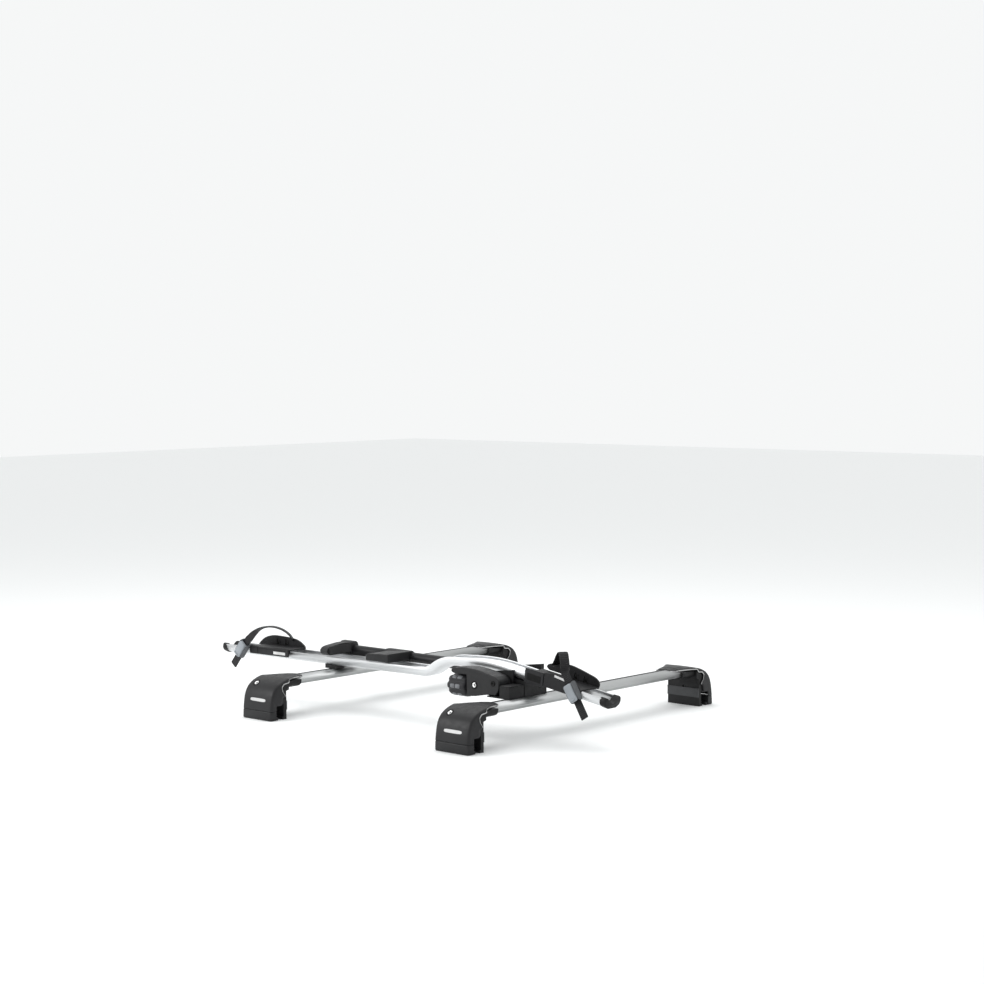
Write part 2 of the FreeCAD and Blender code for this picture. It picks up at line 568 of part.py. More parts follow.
HOUSING = [(305, 156), (258, 156), [(251, 164), (262, 171), (300, 174.5), (342, 172), (375, 166), (404, 160)],
           [(415, 152), (418, 142), (416, 126), (406, 112)], (374, 110.9), (335, 103.5)]
HOUSING_INNER = [(309, 160), (262, 160), [(258, 164), (268, 167.5), (300, 170.3), (341, 168), (374, 162), (400, 157)],
                 [(411, 150), (413.5, 142), (411.5, 128), (402, 116)], (374, 114.9), (334, 107.5)]
casing = new_body("housing_body")
pad(casing, "housing_pad", "XZ_Plane", (305, 100.5), HOUSING,
    "sizes.housing_back_y - sizes.housing_near_y - sizes.casing_wall")
move(casing, ("0", "(sizes.housing_near_y + sizes.housing_back_y - sizes.casing_wall) / 2", "0"))
cavity = plate("housing_cavity", "XZ_Plane", (309, 104.5), HOUSING_INNER, "60 mm",
               ("0", "sizes.housing_near_y + sizes.casing_wall + 30", "0"))
shaft_boss = rod("housing_boss", 12, 38, ("sizes.pivot_x", "sizes.housing_near_y + 2", "sizes.pivot_z"), (0, 1, 0))
lock_boss = rod("lock_boss", 10, 14, (333, "sizes.housing_near_y + 1", 132), (0, 1, 0))
shell = fuse("housing_shell", cut("housing_open", casing, cavity), shaft_boss, lock_boss)
shaft_bore = rod("housing_bore", "sizes.shaft_dia / 2", 60, ("sizes.pivot_x", -288, "sizes.pivot_z"), (0, 1, 0))
arm_lock_bore = rod("arm_lock_bore", "sizes.lock_dia / 2 + sizes.running", 40, (333, -300, 132), (0, 1, 0))
spindle_bore = rod("spindle_bore", "sizes.spindle_dia / 2 + sizes.running", 30,
                   (295, "sizes.knob_y", "sizes.knob_z"), (1, 0, 0))
keep("arm_housing", cut("housing", shell, shaft_bore, arm_lock_bore, spindle_bore))
back = plate("housing_back_blank", "XZ_Plane", (305, 100.5), HOUSING, "sizes.casing_wall",
             ("0", "sizes.housing_back_y - sizes.casing_wall / 2", "0"))
keep("housing_back", cut("housing_back_drilled", back,
                         rod("back_bore", "sizes.shaft_dia / 2", 60, ("sizes.pivot_x", -288, "sizes.pivot_z"),
                             (0, 1, 0))))
keep("arm_lock", rod("arm_lock_barrel", "sizes.lock_dia / 2", 13, (333, "sizes.housing_near_y - 1", 132), (0, 1, 0)))

knob = new_body("knob_body")
knob_disc = knob.newObject("PartDesign::Pad", "knob_disc")
knob_disc.Profile = sketch_on(knob, "knob_circle", "YZ_Plane")
knob_disc.Profile[0].addGeometry(Part.Circle(Vector(), Vector(0, 0, 1), size("knob_dia") / 2), False)
knob_disc.setExpression("Length", "sizes.knob_length")
scallop = knob.newObject("PartDesign::Pocket", "knob_scallop")
scallop.Profile = sketch_on(knob, "knob_scallop_circle", "YZ_Plane")
scallop.Profile[0].addGeometry(Part.Circle(Vector(size("knob_dia") / 2 + 4, 0, 0), Vector(0, 0, 1), 8), False)
scallop.Midplane = True
scallop.Length = 100
ring = knob.newObject("PartDesign::PolarPattern", "knob_scallops")
ring.Originals = [scallop]
ring.Axis = (next(f for f in knob.Origin.OriginFeatures if f.Role == "X_Axis"), [""])
ring.Angle = 360
ring.Occurrences = 7
knob.Tip = ring
move(knob, ("sizes.knob_x", "sizes.knob_y", "sizes.knob_z"))
keep("torque_knob", cut("knob_bored", knob, rod("knob_bore", "sizes.spindle_dia / 2", 30,
                                                ("sizes.spindle_start", "sizes.knob_y", "sizes.knob_z"), (1, 0, 0))))
keep("knob_spindle", fuse("spindle_all", rod("spindle", "sizes.spindle_dia / 2", 66,
                                             ("sizes.spindle_start", "sizes.knob_y", "sizes.knob_z"), (1, 0, 0)),
                          rod("spindle_collar", 9, 6, (310, "sizes.knob_y", "sizes.knob_z"), (1, 0, 0))))


# ---------------------------------------------------------------- wheel holders

def saddle(name, start, end):
    """The bridge over the rail and the two skirts that hug its sides."""
    half = size("rail_width") / 2 + 0.5
    top = size("rail_height") + 0.5
    shape = [(half, top), (half, 8), (half + 4, 8), (half + 4, top + 3.5), (-half - 4, top + 3.5), (-half - 4, 8),
             (-half, 8)]
    return plate(name, "YZ_Plane", (-half, top), shape, f"{end - start} mm", ((start + end) / 2, "0", "0"))


def wall(name, start, steps, y):
    return plate(name, "XZ_Plane", start, steps, "5 mm", ("0", y, "0"))


FRONT_X, REAR_X = 590, -500
front_flange = [(-66, 44), [(-52, 46), (-36, 50), (-10, 50), (20, 47)], (44, 40), [(52, 32), (55, 20)], (50, 8)]
front_hump = [(-66, 31), (-112, 31), [(-120, 38), (-114, 46), (-98, 51)],
              [(-70, 57), (-44, 61), (-17, 59), (20, 53.5), (45, 48), (56, 36)], (52, 20), (40, 8)]
front_holder = [saddle("front_saddle", -66, 54), wall("front_near_wall", (-66, 8), front_flange, -35.5),
                wall("front_far_wall", (-66, 8), front_hump, 35.5)]
keep("wheel_holder_front", on_rail("front_holder", front_holder, FRONT_X, FRONT_SLOPE))
collar = [saddle("collar_saddle", -130, -68), wall("collar_near", (-130, 3), [(-130, 40), (-68, 42), (-68, 5)], -35.5)]
keep("holder_collar_front", on_rail("front_collar", collar, FRONT_X, FRONT_SLOPE))
near_side = [(-98, 28), (-88, 32), (-56, 30), (66, 34), (70, 10)]
hump = [[(-134, 28), (-112, 44), (-88, 52), (-62, 55), (-10, 53.5), (24, 50), (46, 42), (62, 30)], (58, 14), (40, 8),
        (-96, 8)]
rear_holder = [saddle("rear_saddle", -96, 66), wall("rear_near_wall", (-94, 8), near_side, -35.5),
               wall("rear_far_wall", (-140, 14), hump, 35.5)]
keep("wheel_holder_rear", on_rail("rear_holder", rear_holder, REAR_X, REAR_SLOPE))

STRAP_Y = -254
BUCKLES = {"front": (632, 140, -31.0), "rear": (-617, 136, 40.0)}


def tilted(name, shapes, x, z, angle):
    """Buckle pieces are drawn upright, strap along Z, outside towards -Y, then leaned over."""
    whole = fuse(name + "_blank", *shapes) if len(shapes) > 1 else shapes[0]
    frame = doc.addObject("Part::Compound", name + "_placed")
    frame.Links = [whole]
    frame.Placement = Placement(Vector(x, STRAP_Y, z), Rotation(Vector(0, 1, 0), angle))
    return frame


def buckle(place):
    x, z, angle = BUCKLES[place]
    half, length, depth = size("buckle_width") / 2, size("buckle_length"), size("buckle_depth")
    base = block(f"{place}_buckle_base", (-half, 2, -length / 2), (half, 5.5, length / 2))
    near = block(f"{place}_cheek_a", (-half, -depth + 5, -length / 2), (-half + 3, 4, length / 2))
    far = block(f"{place}_cheek_b", (half - 3, -depth + 5, -length / 2), (half, 4, length / 2))
    pin = rod(f"{place}_buckle_pin", 2, 2 * half - 2, (-half + 1, -8, 17), (1, 0, 0))
    keep(f"buckle_body_{place}", tilted(f"{place}_buckle", [base, near, far, pin], x, z, angle))
    lever_shape = [[(-2.6, 14), (-3, 19), (-8, 22), (-13, 19)], (-15.5, -20), (-13.5, -25), (-11, -24), (-11.5, 8)]
    lever = plate(f"{place}_lever_blank", "YZ_Plane", (-5, 12), lever_shape, f"{2 * half - 6.6} mm")
    hole = rod(f"{place}_lever_hole", 2.06, 60, (-30, -8, 17), (1, 0, 0))
    keep(f"buckle_lever_{place}", tilted(f"{place}_lever", [cut(f"{place}_lever_cut", lever, hole)], x, z, angle))


buckle("front")
buckle("rear")


def ribbon(points, thick):
    """Outline of a strap seen edge-on: its inner line out and its outer line back."""
    outer = []
    for before, point, after in zip([points[0]] + points[:-1], points, points[1:] + [points[-1]]):
        along = math.hypot(after[0] - before[0], after[1] - before[1])
        outer.append((point[0] - thick * (after[1] - before[1]) / along,
                      point[1] + thick * (after[0] - before[0]) / along))
    return points[0], [points[1:], outer[-1], outer[-2::-1]]


def strap_run(place, low, high):
    """The straight run through the buckle and its hanging tail."""
    x, z, angle = BUCKLES[place]
    half = size("strap_width") / 2
    run = block(f"{place}_strap_run", (-half, -1.5, low), (half, 1.5, high))
    return tilted(f"{place}_run", [run], x, z, angle)


def strap_arch(name, profile, x, turned):
    """The arched run over the wheel, standing on the buckle's line and turned about the vertical."""
    body = new_body(name)
    pad(body, name + "_pad", "XZ_Plane", *ribbon(profile, size("strap_thick")), "sizes.strap_width")
    body.Placement = Placement(Vector(x, STRAP_Y, 0), Rotation(Vector(0, 0, 1), turned))
    return body


steep = [(-3, 172), (2, 192), (10, 213), (20, 228), (33, 233), (60, 222), (90, 203), (108, 194), (125, 188)]
keep("strap_front", fuse("front_strap", strap_arch("front_arch", steep, 606, 141.7), strap_run("front", -72, 50)))
bow = [(-4, 160), (12, 178), (32, 194), (52, 200), (75, 199), (98, 191), (117, 177), (128, 161)]
keep("strap_rear", fuse("rear_strap", strap_arch("rear_arch", bow, -590, 39), strap_run("rear", -68, 38)))


# ---------------------------------------------------------------- checks and export

doc.recompute()
for obj in doc.Objects:
    bad = [state for state in obj.State if state in ("Invalid", "Error")]
    if bad:
        raise RuntimeError(f"{obj.Name} failed: {bad}")
os.makedirs("parts", exist_ok=True)
for node, obj in parts.items():
    shape = obj.Shape
    if shape.isNull() or not shape.isValid() or shape.Volume <= 0:
        raise RuntimeError(f"{node} has no sound shape")
    shape.exportStep(f"parts/{node}.step")
print(len(parts), "sub-parts written")
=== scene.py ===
import json
import math

import bpy
from mathutils import Matrix, Vector


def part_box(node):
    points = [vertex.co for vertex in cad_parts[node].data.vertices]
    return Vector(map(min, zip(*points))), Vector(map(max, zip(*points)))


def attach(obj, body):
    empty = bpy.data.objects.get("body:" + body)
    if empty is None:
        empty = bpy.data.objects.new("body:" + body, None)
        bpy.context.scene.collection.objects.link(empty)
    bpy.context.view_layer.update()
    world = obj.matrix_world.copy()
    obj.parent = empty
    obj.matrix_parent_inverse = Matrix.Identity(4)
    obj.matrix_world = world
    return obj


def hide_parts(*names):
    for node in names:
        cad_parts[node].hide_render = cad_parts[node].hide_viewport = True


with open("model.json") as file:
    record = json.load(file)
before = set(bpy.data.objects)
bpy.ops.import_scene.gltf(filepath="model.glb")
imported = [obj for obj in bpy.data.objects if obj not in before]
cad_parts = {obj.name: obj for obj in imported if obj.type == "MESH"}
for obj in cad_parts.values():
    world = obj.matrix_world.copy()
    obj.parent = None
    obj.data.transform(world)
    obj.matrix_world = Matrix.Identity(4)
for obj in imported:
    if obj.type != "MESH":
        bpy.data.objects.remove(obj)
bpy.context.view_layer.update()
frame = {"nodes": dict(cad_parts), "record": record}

# Everything below is drawn in millimetres in the frame's own axes: +X forward, +Y left, +Z up.
MM = 0.001


def span(node):
    """Lowest and highest corner of a CAD node, in millimetres."""
    low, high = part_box(node)
    return [c / MM for c in low], [c / MM for c in high]


def middle(node, axis):
    low, high = span(node)
    return (low[axis] + high[axis]) / 2


# ---------------------------------------------------------------- camera, light, floor

CAMERA_AT = (3.874, -4.084, 0.961)
CAMERA_YAW, CAMERA_DOWN, CAMERA_ROLL = 42.52, 3.68, -0.33
LENS = 74.68


def make_camera():
    """The photograph's viewpoint."""
    data = bpy.data.cameras.new("camera")
    data.lens = LENS
    data.sensor_width = 36
    data.clip_end = 60
    camera = bpy.data.objects.new("camera", data)
    turn = (Matrix.Rotation(math.radians(CAMERA_YAW), 4, "Z")
            @ Matrix.Rotation(math.radians(90 - CAMERA_DOWN), 4, "X")
            @ Matrix.Rotation(math.radians(CAMERA_ROLL), 4, "Z"))
    camera.matrix_world = Matrix.Translation(CAMERA_AT) @ turn
    bpy.context.scene.collection.objects.link(camera)
    bpy.context.scene.camera = camera


def softbox(name, place, target, size, watts):
    data = bpy.data.lights.new(name, "AREA")
    data.shape = "RECTANGLE"
    data.size, data.size_y = size
    data.energy = watts
    light = bpy.data.objects.new(name, data)
    aim = (Vector(target) - Vector(place)).to_track_quat("-Z", "Y")
    light.matrix_world = Matrix.Translation(place) @ aim.to_matrix().to_4x4()
    bpy.context.scene.collection.objects.link(light)


def make_studio():
    """A pale floor under plain soft light."""
    world = bpy.data.worlds.new("studio")
    bpy.context.scene.world = world
    world.use_nodes = True
    world.node_tree.nodes["Background"].inputs["Color"].default_value = (0.97, 0.98, 0.98, 1)
    world.node_tree.nodes["Background"].inputs["Strength"].default_value = 0.95
    bpy.context.scene.view_settings.view_transform = "Standard"
    softbox("overhead", (-0.2, 0.3, 2.6), (0, 0, 0.1), (3.0, 2.2), 34)
    softbox("near_side", (-1.6, -2.8, 1.5), (-0.1, -0.2, 0.1), (2.0, 1.3), 46)
    softbox("far_front", (2.6, 2.2, 1.8), (0.2, 0, 0.1), (1.6, 1.2), 5)
    side = 14.0
    mesh = bpy.data.meshes.new("floor")
    mesh.from_pydata([(-side, -side, 0), (side, -side, 0), (side, side, 0), (-side, side, 0)], [], [(0, 1, 2, 3)])
    floor = bpy.data.objects.new("floor", mesh)
    bpy.context.scene.collection.objects.link(floor)
    paint = bpy.data.materials.new("floor_paint")
    paint.use_nodes = True
    shader = paint.node_tree.nodes["Principled BSDF"]
    shader.inputs["Base Color"].default_value = (0.9, 0.91, 0.91, 1)
    shader.inputs["Roughness"].default_value = 0.75
    mesh.materials.append(paint)


# ---------------------------------------------------------------- materials


def shader_graph(name):
    material = bpy.data.materials.new(name)
    material.use_nodes = True
    nodes, links = material.node_tree.nodes, material.node_tree.links
    return material, nodes, links, nodes["Principled BSDF"]


def coordinates(nodes, links, scale):
    place = nodes.new("ShaderNodeTexCoord")
    mapping = nodes.new("ShaderNodeMapping")
    mapping.inputs["Scale"].default_value = scale
    links.new(place.outputs["Object"], mapping.inputs["Vector"])
    return mapping.outputs["Vector"]


def noise(nodes, links, vector, scale, detail=3.0):
    texture = nodes.new("ShaderNodeTexNoise")
    texture.inputs["Scale"].default_value = scale
    texture.inputs["Detail"].default_value = detail
    links.new(vector, texture.inputs["Vector"])
    return texture.outputs["Fac"]


def ranged(nodes, links, value, low, high, start=0.3, end=0.7):
    remap = nodes.new("ShaderNodeMapRange")
    remap.inputs["From Min"].default_value = start
    remap.inputs["From Max"].default_value = end
    remap.inputs["To Min"].default_value = low
    remap.inputs["To Max"].default_value = high
    links.new(value, remap.inputs["Value"])
    return remap.outputs["Result"]


def mixed(nodes, links, factor, first, second):
    """Two colours, plain or from a node, mixed by a factor."""
    mix = nodes.new("ShaderNodeMix")
    mix.data_type = "RGBA"
    links.new(factor, mix.inputs["Factor"])
    for socket, colour in ((mix.inputs[6], first), (mix.inputs[7], second)):
        if isinstance(colour, tuple):
            socket.default_value = (*colour, 1)
        else:
            links.new(colour, socket)
    return mix.outputs[2]


def bumped(nodes, links, height, strength, distance, shader):
    bump = nodes.new("ShaderNodeBump")
    bump.inputs["Strength"].default_value = strength
    bump.inputs["Distance"].default_value = distance
    links.new(height, bump.inputs["Height"])
    links.new(bump.outputs["Normal"], shader.inputs["Normal"])


def edge_highlight(nodes, links, colour, edge_colour, amount):
    """Painted highlight: convex edges lightened where light would catch them."""
    geometry = nodes.new("ShaderNodeNewGeometry")
    edge = ranged(nodes, links, geometry.outputs["Pointiness"], 0.0, amount, 0.52, 0.60)
    return mixed(nodes, links, edge, colour, edge_colour)


def shade(colour, factor):
    return tuple(min(1.0, c * factor) for c in colour)


PLASTIC_GLEAM = 0.24


def moulded(name, colour, rough, grain=1500, depth=0.35, highlight_amount=0.35):
    """Grained moulded plastic with slight mottling, uneven gloss and a painted highlight on its edges."""
    material, nodes, links, shader = shader_graph(name)
    at = coordinates(nodes, links, (1, 1, 1))
    blotch = noise(nodes, links, at, 26, 4)
    base = mixed(nodes, links, ranged(nodes, links, blotch, 0, 1), shade(colour, 0.86), shade(colour, 1.16))
    # Painted highlight: lighter colour on the convex edges.
    base = edge_highlight(nodes, links, base, shade(colour, 2.1), highlight_amount)
    links.new(base, shader.inputs["Base Color"])
    gloss = noise(nodes, links, at, 85, 5)
    links.new(ranged(nodes, links, gloss, rough - 0.07, rough + 0.09), shader.inputs["Roughness"])
    grains = nodes.new("ShaderNodeTexVoronoi")
    grains.inputs["Scale"].default_value = grain
    links.new(at, grains.inputs["Vector"])
    bumped(nodes, links, grains.outputs["Distance"], depth, 0.00022, shader)
    shader.inputs["Specular IOR Level"].default_value = PLASTIC_GLEAM
    return material


def drawn_metal(name, colour, rough, along, line=420):
    """Extruded or brushed metal with fine lines along one axis."""
    material, nodes, links, shader = shader_graph(name)
    shader.inputs["Metallic"].default_value = 1.0
    stretch = [1.0, 1.0, 1.0]
    stretch["XYZ".index(along)] = 0.012
    lined = coordinates(nodes, links, stretch)
    plain = coordinates(nodes, links, (1, 1, 1))
    lines = noise(nodes, links, lined, line, 6)
    cloud = noise(nodes, links, plain, 9, 3)
    base = mixed(nodes, links, ranged(nodes, links, lines, 0, 1), shade(colour, 0.93), shade(colour, 1.05))
    tint = mixed(nodes, links, ranged(nodes, links, cloud, 0, 0.5), base, shade(colour, 0.9))
    links.new(tint, shader.inputs["Base Color"])
    links.new(ranged(nodes, links, lines, rough - 0.05, rough + 0.08), shader.inputs["Roughness"])
    bumped(nodes, links, lines, 0.12, 0.0002, shader)
    return material


def rubbery(name, colour, rough):
    """Matt rubber with dust in its fine texture."""
    material, nodes, links, shader = shader_graph(name)
    at = coordinates(nodes, links, (1, 1, 1))
    dust = noise(nodes, links, at, 40, 6)
    base = mixed(nodes, links, ranged(nodes, links, dust, 0, 1, 0.35, 0.75), colour, shade(colour, 1.7))
    links.new(base, shader.inputs["Base Color"])
    links.new(ranged(nodes, links, dust, rough - 0.1, rough + 0.08), shader.inputs["Roughness"])
    fine = noise(nodes, links, at, 1800, 2)
    bumped(nodes, links, fine, 0.3, 0.0002, shader)
    return material


def plated(name, colour, rough):
    """Plated or turned steel with fine scratches."""
    material, nodes, links, shader = shader_graph(name)
    shader.inputs["Metallic"].default_value = 1.0
    at = coordinates(nodes, links, (1, 1, 0.08))
    scratch = noise(nodes, links, at, 900, 5)
    cloud = noise(nodes, links, coordinates(nodes, links, (1, 1, 1)), 60, 3)
    links.new(mixed(nodes, links, ranged(nodes, links, cloud, 0, 1), shade(colour, 0.88), colour),
              shader.inputs["Base Color"])
    links.new(ranged(nodes, links, scratch, rough - 0.05, rough + 0.12), shader.inputs["Roughness"])
    bumped(nodes, links, scratch, 0.1, 0.0001, shader)
    return material


# In the moulded plastics below, the last keyword, where given, sets the strength of the painted edge highlight.
LOOKS = {
    "bar_aluminium": drawn_metal("bar_aluminium", (0.42, 0.43, 0.43), 0.42, "Y"),
    "rail_aluminium": drawn_metal("rail_aluminium", (0.72, 0.73, 0.74), 0.40, "X"),
    "soft_rubber": rubbery("soft_rubber", (0.010, 0.010, 0.011), 0.7),
    "body_plastic": moulded("body_plastic", (0.0055, 0.0055, 0.006), 0.50, highlight_amount=0.25),
    "zinc_steel": plated("zinc_steel", (0.62, 0.61, 0.58), 0.30),
    "arm_black": moulded("arm_black", (0.011, 0.011, 0.012), 0.36, grain=2600, depth=0.12, highlight_amount=0.2),
    "casing_plastic": moulded("casing_plastic", (0.013, 0.013, 0.014), 0.44),
    "knob_plastic": moulded("knob_plastic", (0.020, 0.020, 0.022), 0.46),
    "lock_chrome": plated("lock_chrome", (0.86, 0.86, 0.86), 0.20),
    "holder_plastic": moulded("holder_plastic", (0.010, 0.010, 0.011), 0.46),
    "strap_black": moulded("strap_black", (0.009, 0.009, 0.010), 0.50, grain=2200, depth=0.2, highlight_amount=0.15),
    "buckle_grey": moulded("buckle_grey", (0.24, 0.26, 0.28), 0.42, grain=2400, depth=0.15, highlight_amount=0.2),
    "cover_plastic": moulded("cover_plastic", (0.014, 0.014, 0.015), 0.42, grain=2000, depth=0.22, highlight_amount=0.25),
    "trim_silver": drawn_metal("trim_silver", (0.50, 0.50, 0.50), 0.36, "X", line=600),
}
MARK = moulded("pale_mark", (0.55, 0.55, 0.55), 0.5, grain=2400, depth=0.1, highlight_amount=0.0)
GRIP = moulded("grip_grey", (0.15, 0.155, 0.165), 0.6, highlight_amount=0.1)
JAW_BAND = moulded("jaw_band_grey", (0.040, 0.041, 0.043), 0.5, highlight_amount=0.2)
# Near-black: painted shade in the locks' recesses, keyholes, cradle slots and grooves; also the plain colour of the
# pivot cap and the collar plate.
BLACK_AND_PAINTED_SHADE = moulded("black_and_painted_shade", (0.003, 0.003, 0.003), 0.7, highlight_amount=0.0)
DARK_GREY = moulded("buckle_frame_grey", (0.075, 0.08, 0.085), 0.45, grain=2400, depth=0.15, highlight_amount=0.2)


# ---------------------------------------------------------------- mesh helpers


def make_piece(name, parts, body, look, stands_for=(), rounding=0.0, steps=3, angle=32, smooth=True):
    """One mesh from (points, faces) parts, on a body, with the given material."""
    points, faces = [], []
    for part_points, part_faces in parts:
        start = len(points)
        points += [tuple(c * MM for c in p) for p in part_points]
        faces += [tuple(start + i for i in f) for f in part_faces]
    mesh = bpy.data.meshes.new(name)
    mesh.from_pydata(points, [], faces)
    obj = bpy.data.objects.new(name, mesh)
    bpy.context.scene.collection.objects.link(obj)
    bpy.ops.object.select_all(action="DESELECT")
    obj.select_set(True)
    bpy.context.view_layer.objects.active = obj
    bpy.ops.object.mode_set(mode="EDIT")
    bpy.ops.mesh.select_all(action="SELECT")
    bpy.ops.mesh.normals_make_consistent(inside=False)
    bpy.ops.object.mode_set(mode="OBJECT")
    if smooth:
        mesh.shade_smooth()
    mesh.materials.append(look if not isinstance(look, str) else LOOKS[look])
    if rounding:
        round_edges(obj, rounding, steps, angle)
    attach(obj, body)
    if stands_for:
        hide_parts(*stands_for)
    return obj


def round_edges(obj, width, steps=3, angle=32):
    bevel = obj.modifiers.new("rounded", "BEVEL")
    bevel.width = width * MM
    bevel.segments = steps
    bevel.limit_method = "ANGLE"
    bevel.angle_limit = math.radians(angle)
    bevel.harden_normals = True
    bevel.use_clamp_overlap = True


def through(points, per=6, closed=False):
    """A smooth line through a few points (Catmull-Rom)."""
    line = []
    count = len(points)
    runs = count if closed else count - 1
    for i in range(runs):
        if closed:
            four = [points[(i + k) % count] for k in (-1, 0, 1, 2)]
        else:
            four = [points[min(max(i + k, 0), count - 1)] for k in (-1, 0, 1, 2)]
        for j in range(per):
            t = j / per
            line.append(tuple(
                0.5 * (2 * b + (c - a) * t + (2 * a - 5 * b + 4 * c - d) * t * t + (3 * b - a - 3 * c + d) * t ** 3)
                for a, b, c, d in zip(*four)))
    if not closed:
        line.append(tuple(points[-1]))
    return line


def resample(line, count):
    """A polyline at evenly spaced distances."""
    lengths = [0.0]
    for a, b in zip(line, line[1:]):
        lengths.append(lengths[-1] + math.dist(a, b))
    out = []
    k = 0
    for i in range(count):
        want = lengths[-1] * i / (count - 1)
        while k < len(lengths) - 2 and lengths[k + 1] < want:
            k += 1
        gap = lengths[k + 1] - lengths[k] or 1.0
        t = (want - lengths[k]) / gap
        out.append(tuple(a + (b - a) * t for a, b in zip(line[k], line[k + 1])))
    return out


def loft(rings, closed=True, capped=True):
    """Skin over rings of equal count."""
    size = len(rings[0])
    points = [p for ring in rings for p in ring]
    faces = []
    for r in range(len(rings) - 1):
        for i in range(size if closed else size - 1):
            j = (i + 1) % size
            a, b = r * size, (r + 1) * size
            faces.append((a + i, a + j, b + j, b + i))
    if capped:
        faces.append(tuple(range(size)))
        faces.append(tuple(len(points) - size + i for i in range(size)))
    return points, faces


def slab(outline, low, high, axis="Y"):
    """An outline drawn in the two other axes, given thickness along this one."""
    def point(p, depth):
        if axis == "Y":
            return (p[0], depth, p[1])
        if axis == "X":
            return (depth, p[0], p[1])
        return (p[0], p[1], depth)
    return loft([[point(p, low) for p in outline], [point(p, high) for p in outline]])


def cuboid(low, high):
    return slab([(low[0], low[2]), (high[0], low[2]), (high[0], high[2]), (low[0], high[2])], low[1], high[1])


def lathe(profile, start, direction, around=40):
    """Turned shape: (radius, distance) pairs along a direction from a point."""
    axis = Vector(direction).normalized()
    side = axis.orthogonal().normalized()
    up = axis.cross(side)
    rings = []
    for radius, distance in profile:
        centre = Vector(start) + axis * distance
        rings.append([tuple(centre + radius * (math.cos(2 * math.pi * i / around) * side
                                               + math.sin(2 * math.pi * i / around) * up)) for i in range(around)])
    return loft(rings)


def moved(part, matrix):
    points, faces = part
    return [tuple(matrix @ Vector(p)) for p in points], faces


def squared(angle, power):
    """Cosine and sine with their corners pushed out."""
    across, up = math.cos(angle), math.sin(angle)
    return math.copysign(abs(across) ** power, across), math.copysign(abs(up) ** power, up)


# ---------------------------------------------------------------- crossbars and feet

FEET = [(f"{place}_{hand}", middle(f"crossbar_{place}", 0), side)
        for place in ("front", "rear") for hand, side in (("right", -1), ("left", 1))]
BAR_LOW, BAR_HIGH = span("crossbar_front")
CHORD = (BAR_HIGH[0] - BAR_LOW[0]) / 2
BAR_MID_Z = 94.5
HALF_DEPTH = 12.5
SLOT_HALF, SLOT_DEEP = 5.5, 3.0
CREASE_AT, CREASE_HALF, CREASE_DEEP = 0.93, 1.6, 0.45


def wing_section():
    """The bar's outline with its slot mouth."""
    shares = [(1, 0), (0.97, 0.3), (0.9, 0.5), (0.7, 0.77), (0.35, 0.95), (0, 0.99), (-0.3, 0.88), (-0.6, 0.66),
              (-0.85, 0.34), (-1, 0.02), (-0.85, -0.3), (-0.62, -0.6), (-0.3, -0.85), (0, -0.97), (0.35, -0.96),
              (0.7, -0.78), (0.9, -0.48)]
    line = through([(x * CHORD, z * HALF_DEPTH) for x, z in shares], 6, closed=True)
    out = []
    cut_in = False
    for x, z in line:
        if z > 0 and abs(x) < SLOT_HALF:
            if not cut_in:
                out += [(SLOT_HALF, HALF_DEPTH - 0.05), (SLOT_HALF, HALF_DEPTH - SLOT_DEEP),
                        (-SLOT_HALF, HALF_DEPTH - SLOT_DEEP), (-SLOT_HALF, HALF_DEPTH - 0.1)]
                cut_in = True
            continue
        out.append((x, z))
    return out


def creased(ring):
    """Fine grooves along the nose, above and below, where the die leaves a line."""
    out = []
    for x, z in ring:
        pull = CREASE_DEEP if z and abs(x - CREASE_AT * CHORD) < CREASE_HALF else 0.0
        length = math.hypot(x, z) or 1
        out.append((x - pull * x / length, z - pull * z / length))
    return out


def crossbar(place):
    """The aluminium wing bar over its CAD node's length."""
    low, high = span(f"crossbar_{place}")
    at = middle(f"crossbar_{place}", 0)
    ring = creased(wing_section())
    rings = [[(at + x, y, BAR_MID_Z + z) for x, z in ring] for y in (low[1], low[1] / 3, high[1] / 3, high[1])]
    make_piece(f"wing_bar_{place}", [loft(rings)], "root", "bar_aluminium", (f"crossbar_{place}",))


# The cover's outer curve and its trim line, as (distance from the car's middle, height).
SHOULDER = [(352, 108.6), (364, 110.0), (390, 111.6), (412, 111.4), (440, 107.3), (464, 98.6), (480, 87),
            (490, 71.5), (496, 50), (499, 26)]
TRIM_LINE = [(352, 107.0), (364, 107.6), (400, 107.5), (416, 107.2), (430, 106), (432.5, 97), (450, 95),
             (458, 87), (455, 75), (447, 66), (445, 61), (453, 60), (457, 41), (462, 39.5), (478.4, 39),
             (478.5, 26)]
# Half the cover's width at each distance from the car's middle.
PLAN = [(352, 21), (356, 27), (364, 31), (378, 34), (392, 37.5), (406, 42), (418, 49), (428, 55), (436, 57.5),
        (450, 57.5), (500, 57.5)]
COVER_HALF = 57.5
LIP_END, COVER_START = 372.8, 374.2
SKIN = 2.4
CROWN, LIP_SAG = 1.3, 5.4


def half_width(reach):
    """Half the cover's width at this distance from the car's middle."""
    for (a, wa), (b, wb) in zip(PLAN, PLAN[1:]):
        if reach <= b:
            t = (reach - a) / (b - a)
            return wa + (wb - wa) * max(t, 0)
    return PLAN[-1][1]


def cover_lines():
    """Matching points down the cover's outer curve and its trim line."""
    outer = through(SHOULDER, 8)
    split = min(range(len(outer)), key=lambda i: abs(outer[i][0] - 430))
    first = resample(outer[:split + 1], 18)
    rest = resample(outer[split:], 34)
    inner_first = resample(TRIM_LINE[:5], 18)
    inner_rest = resample(TRIM_LINE[4:], 34)
    return first + rest[1:], inner_first + inner_rest[1:]


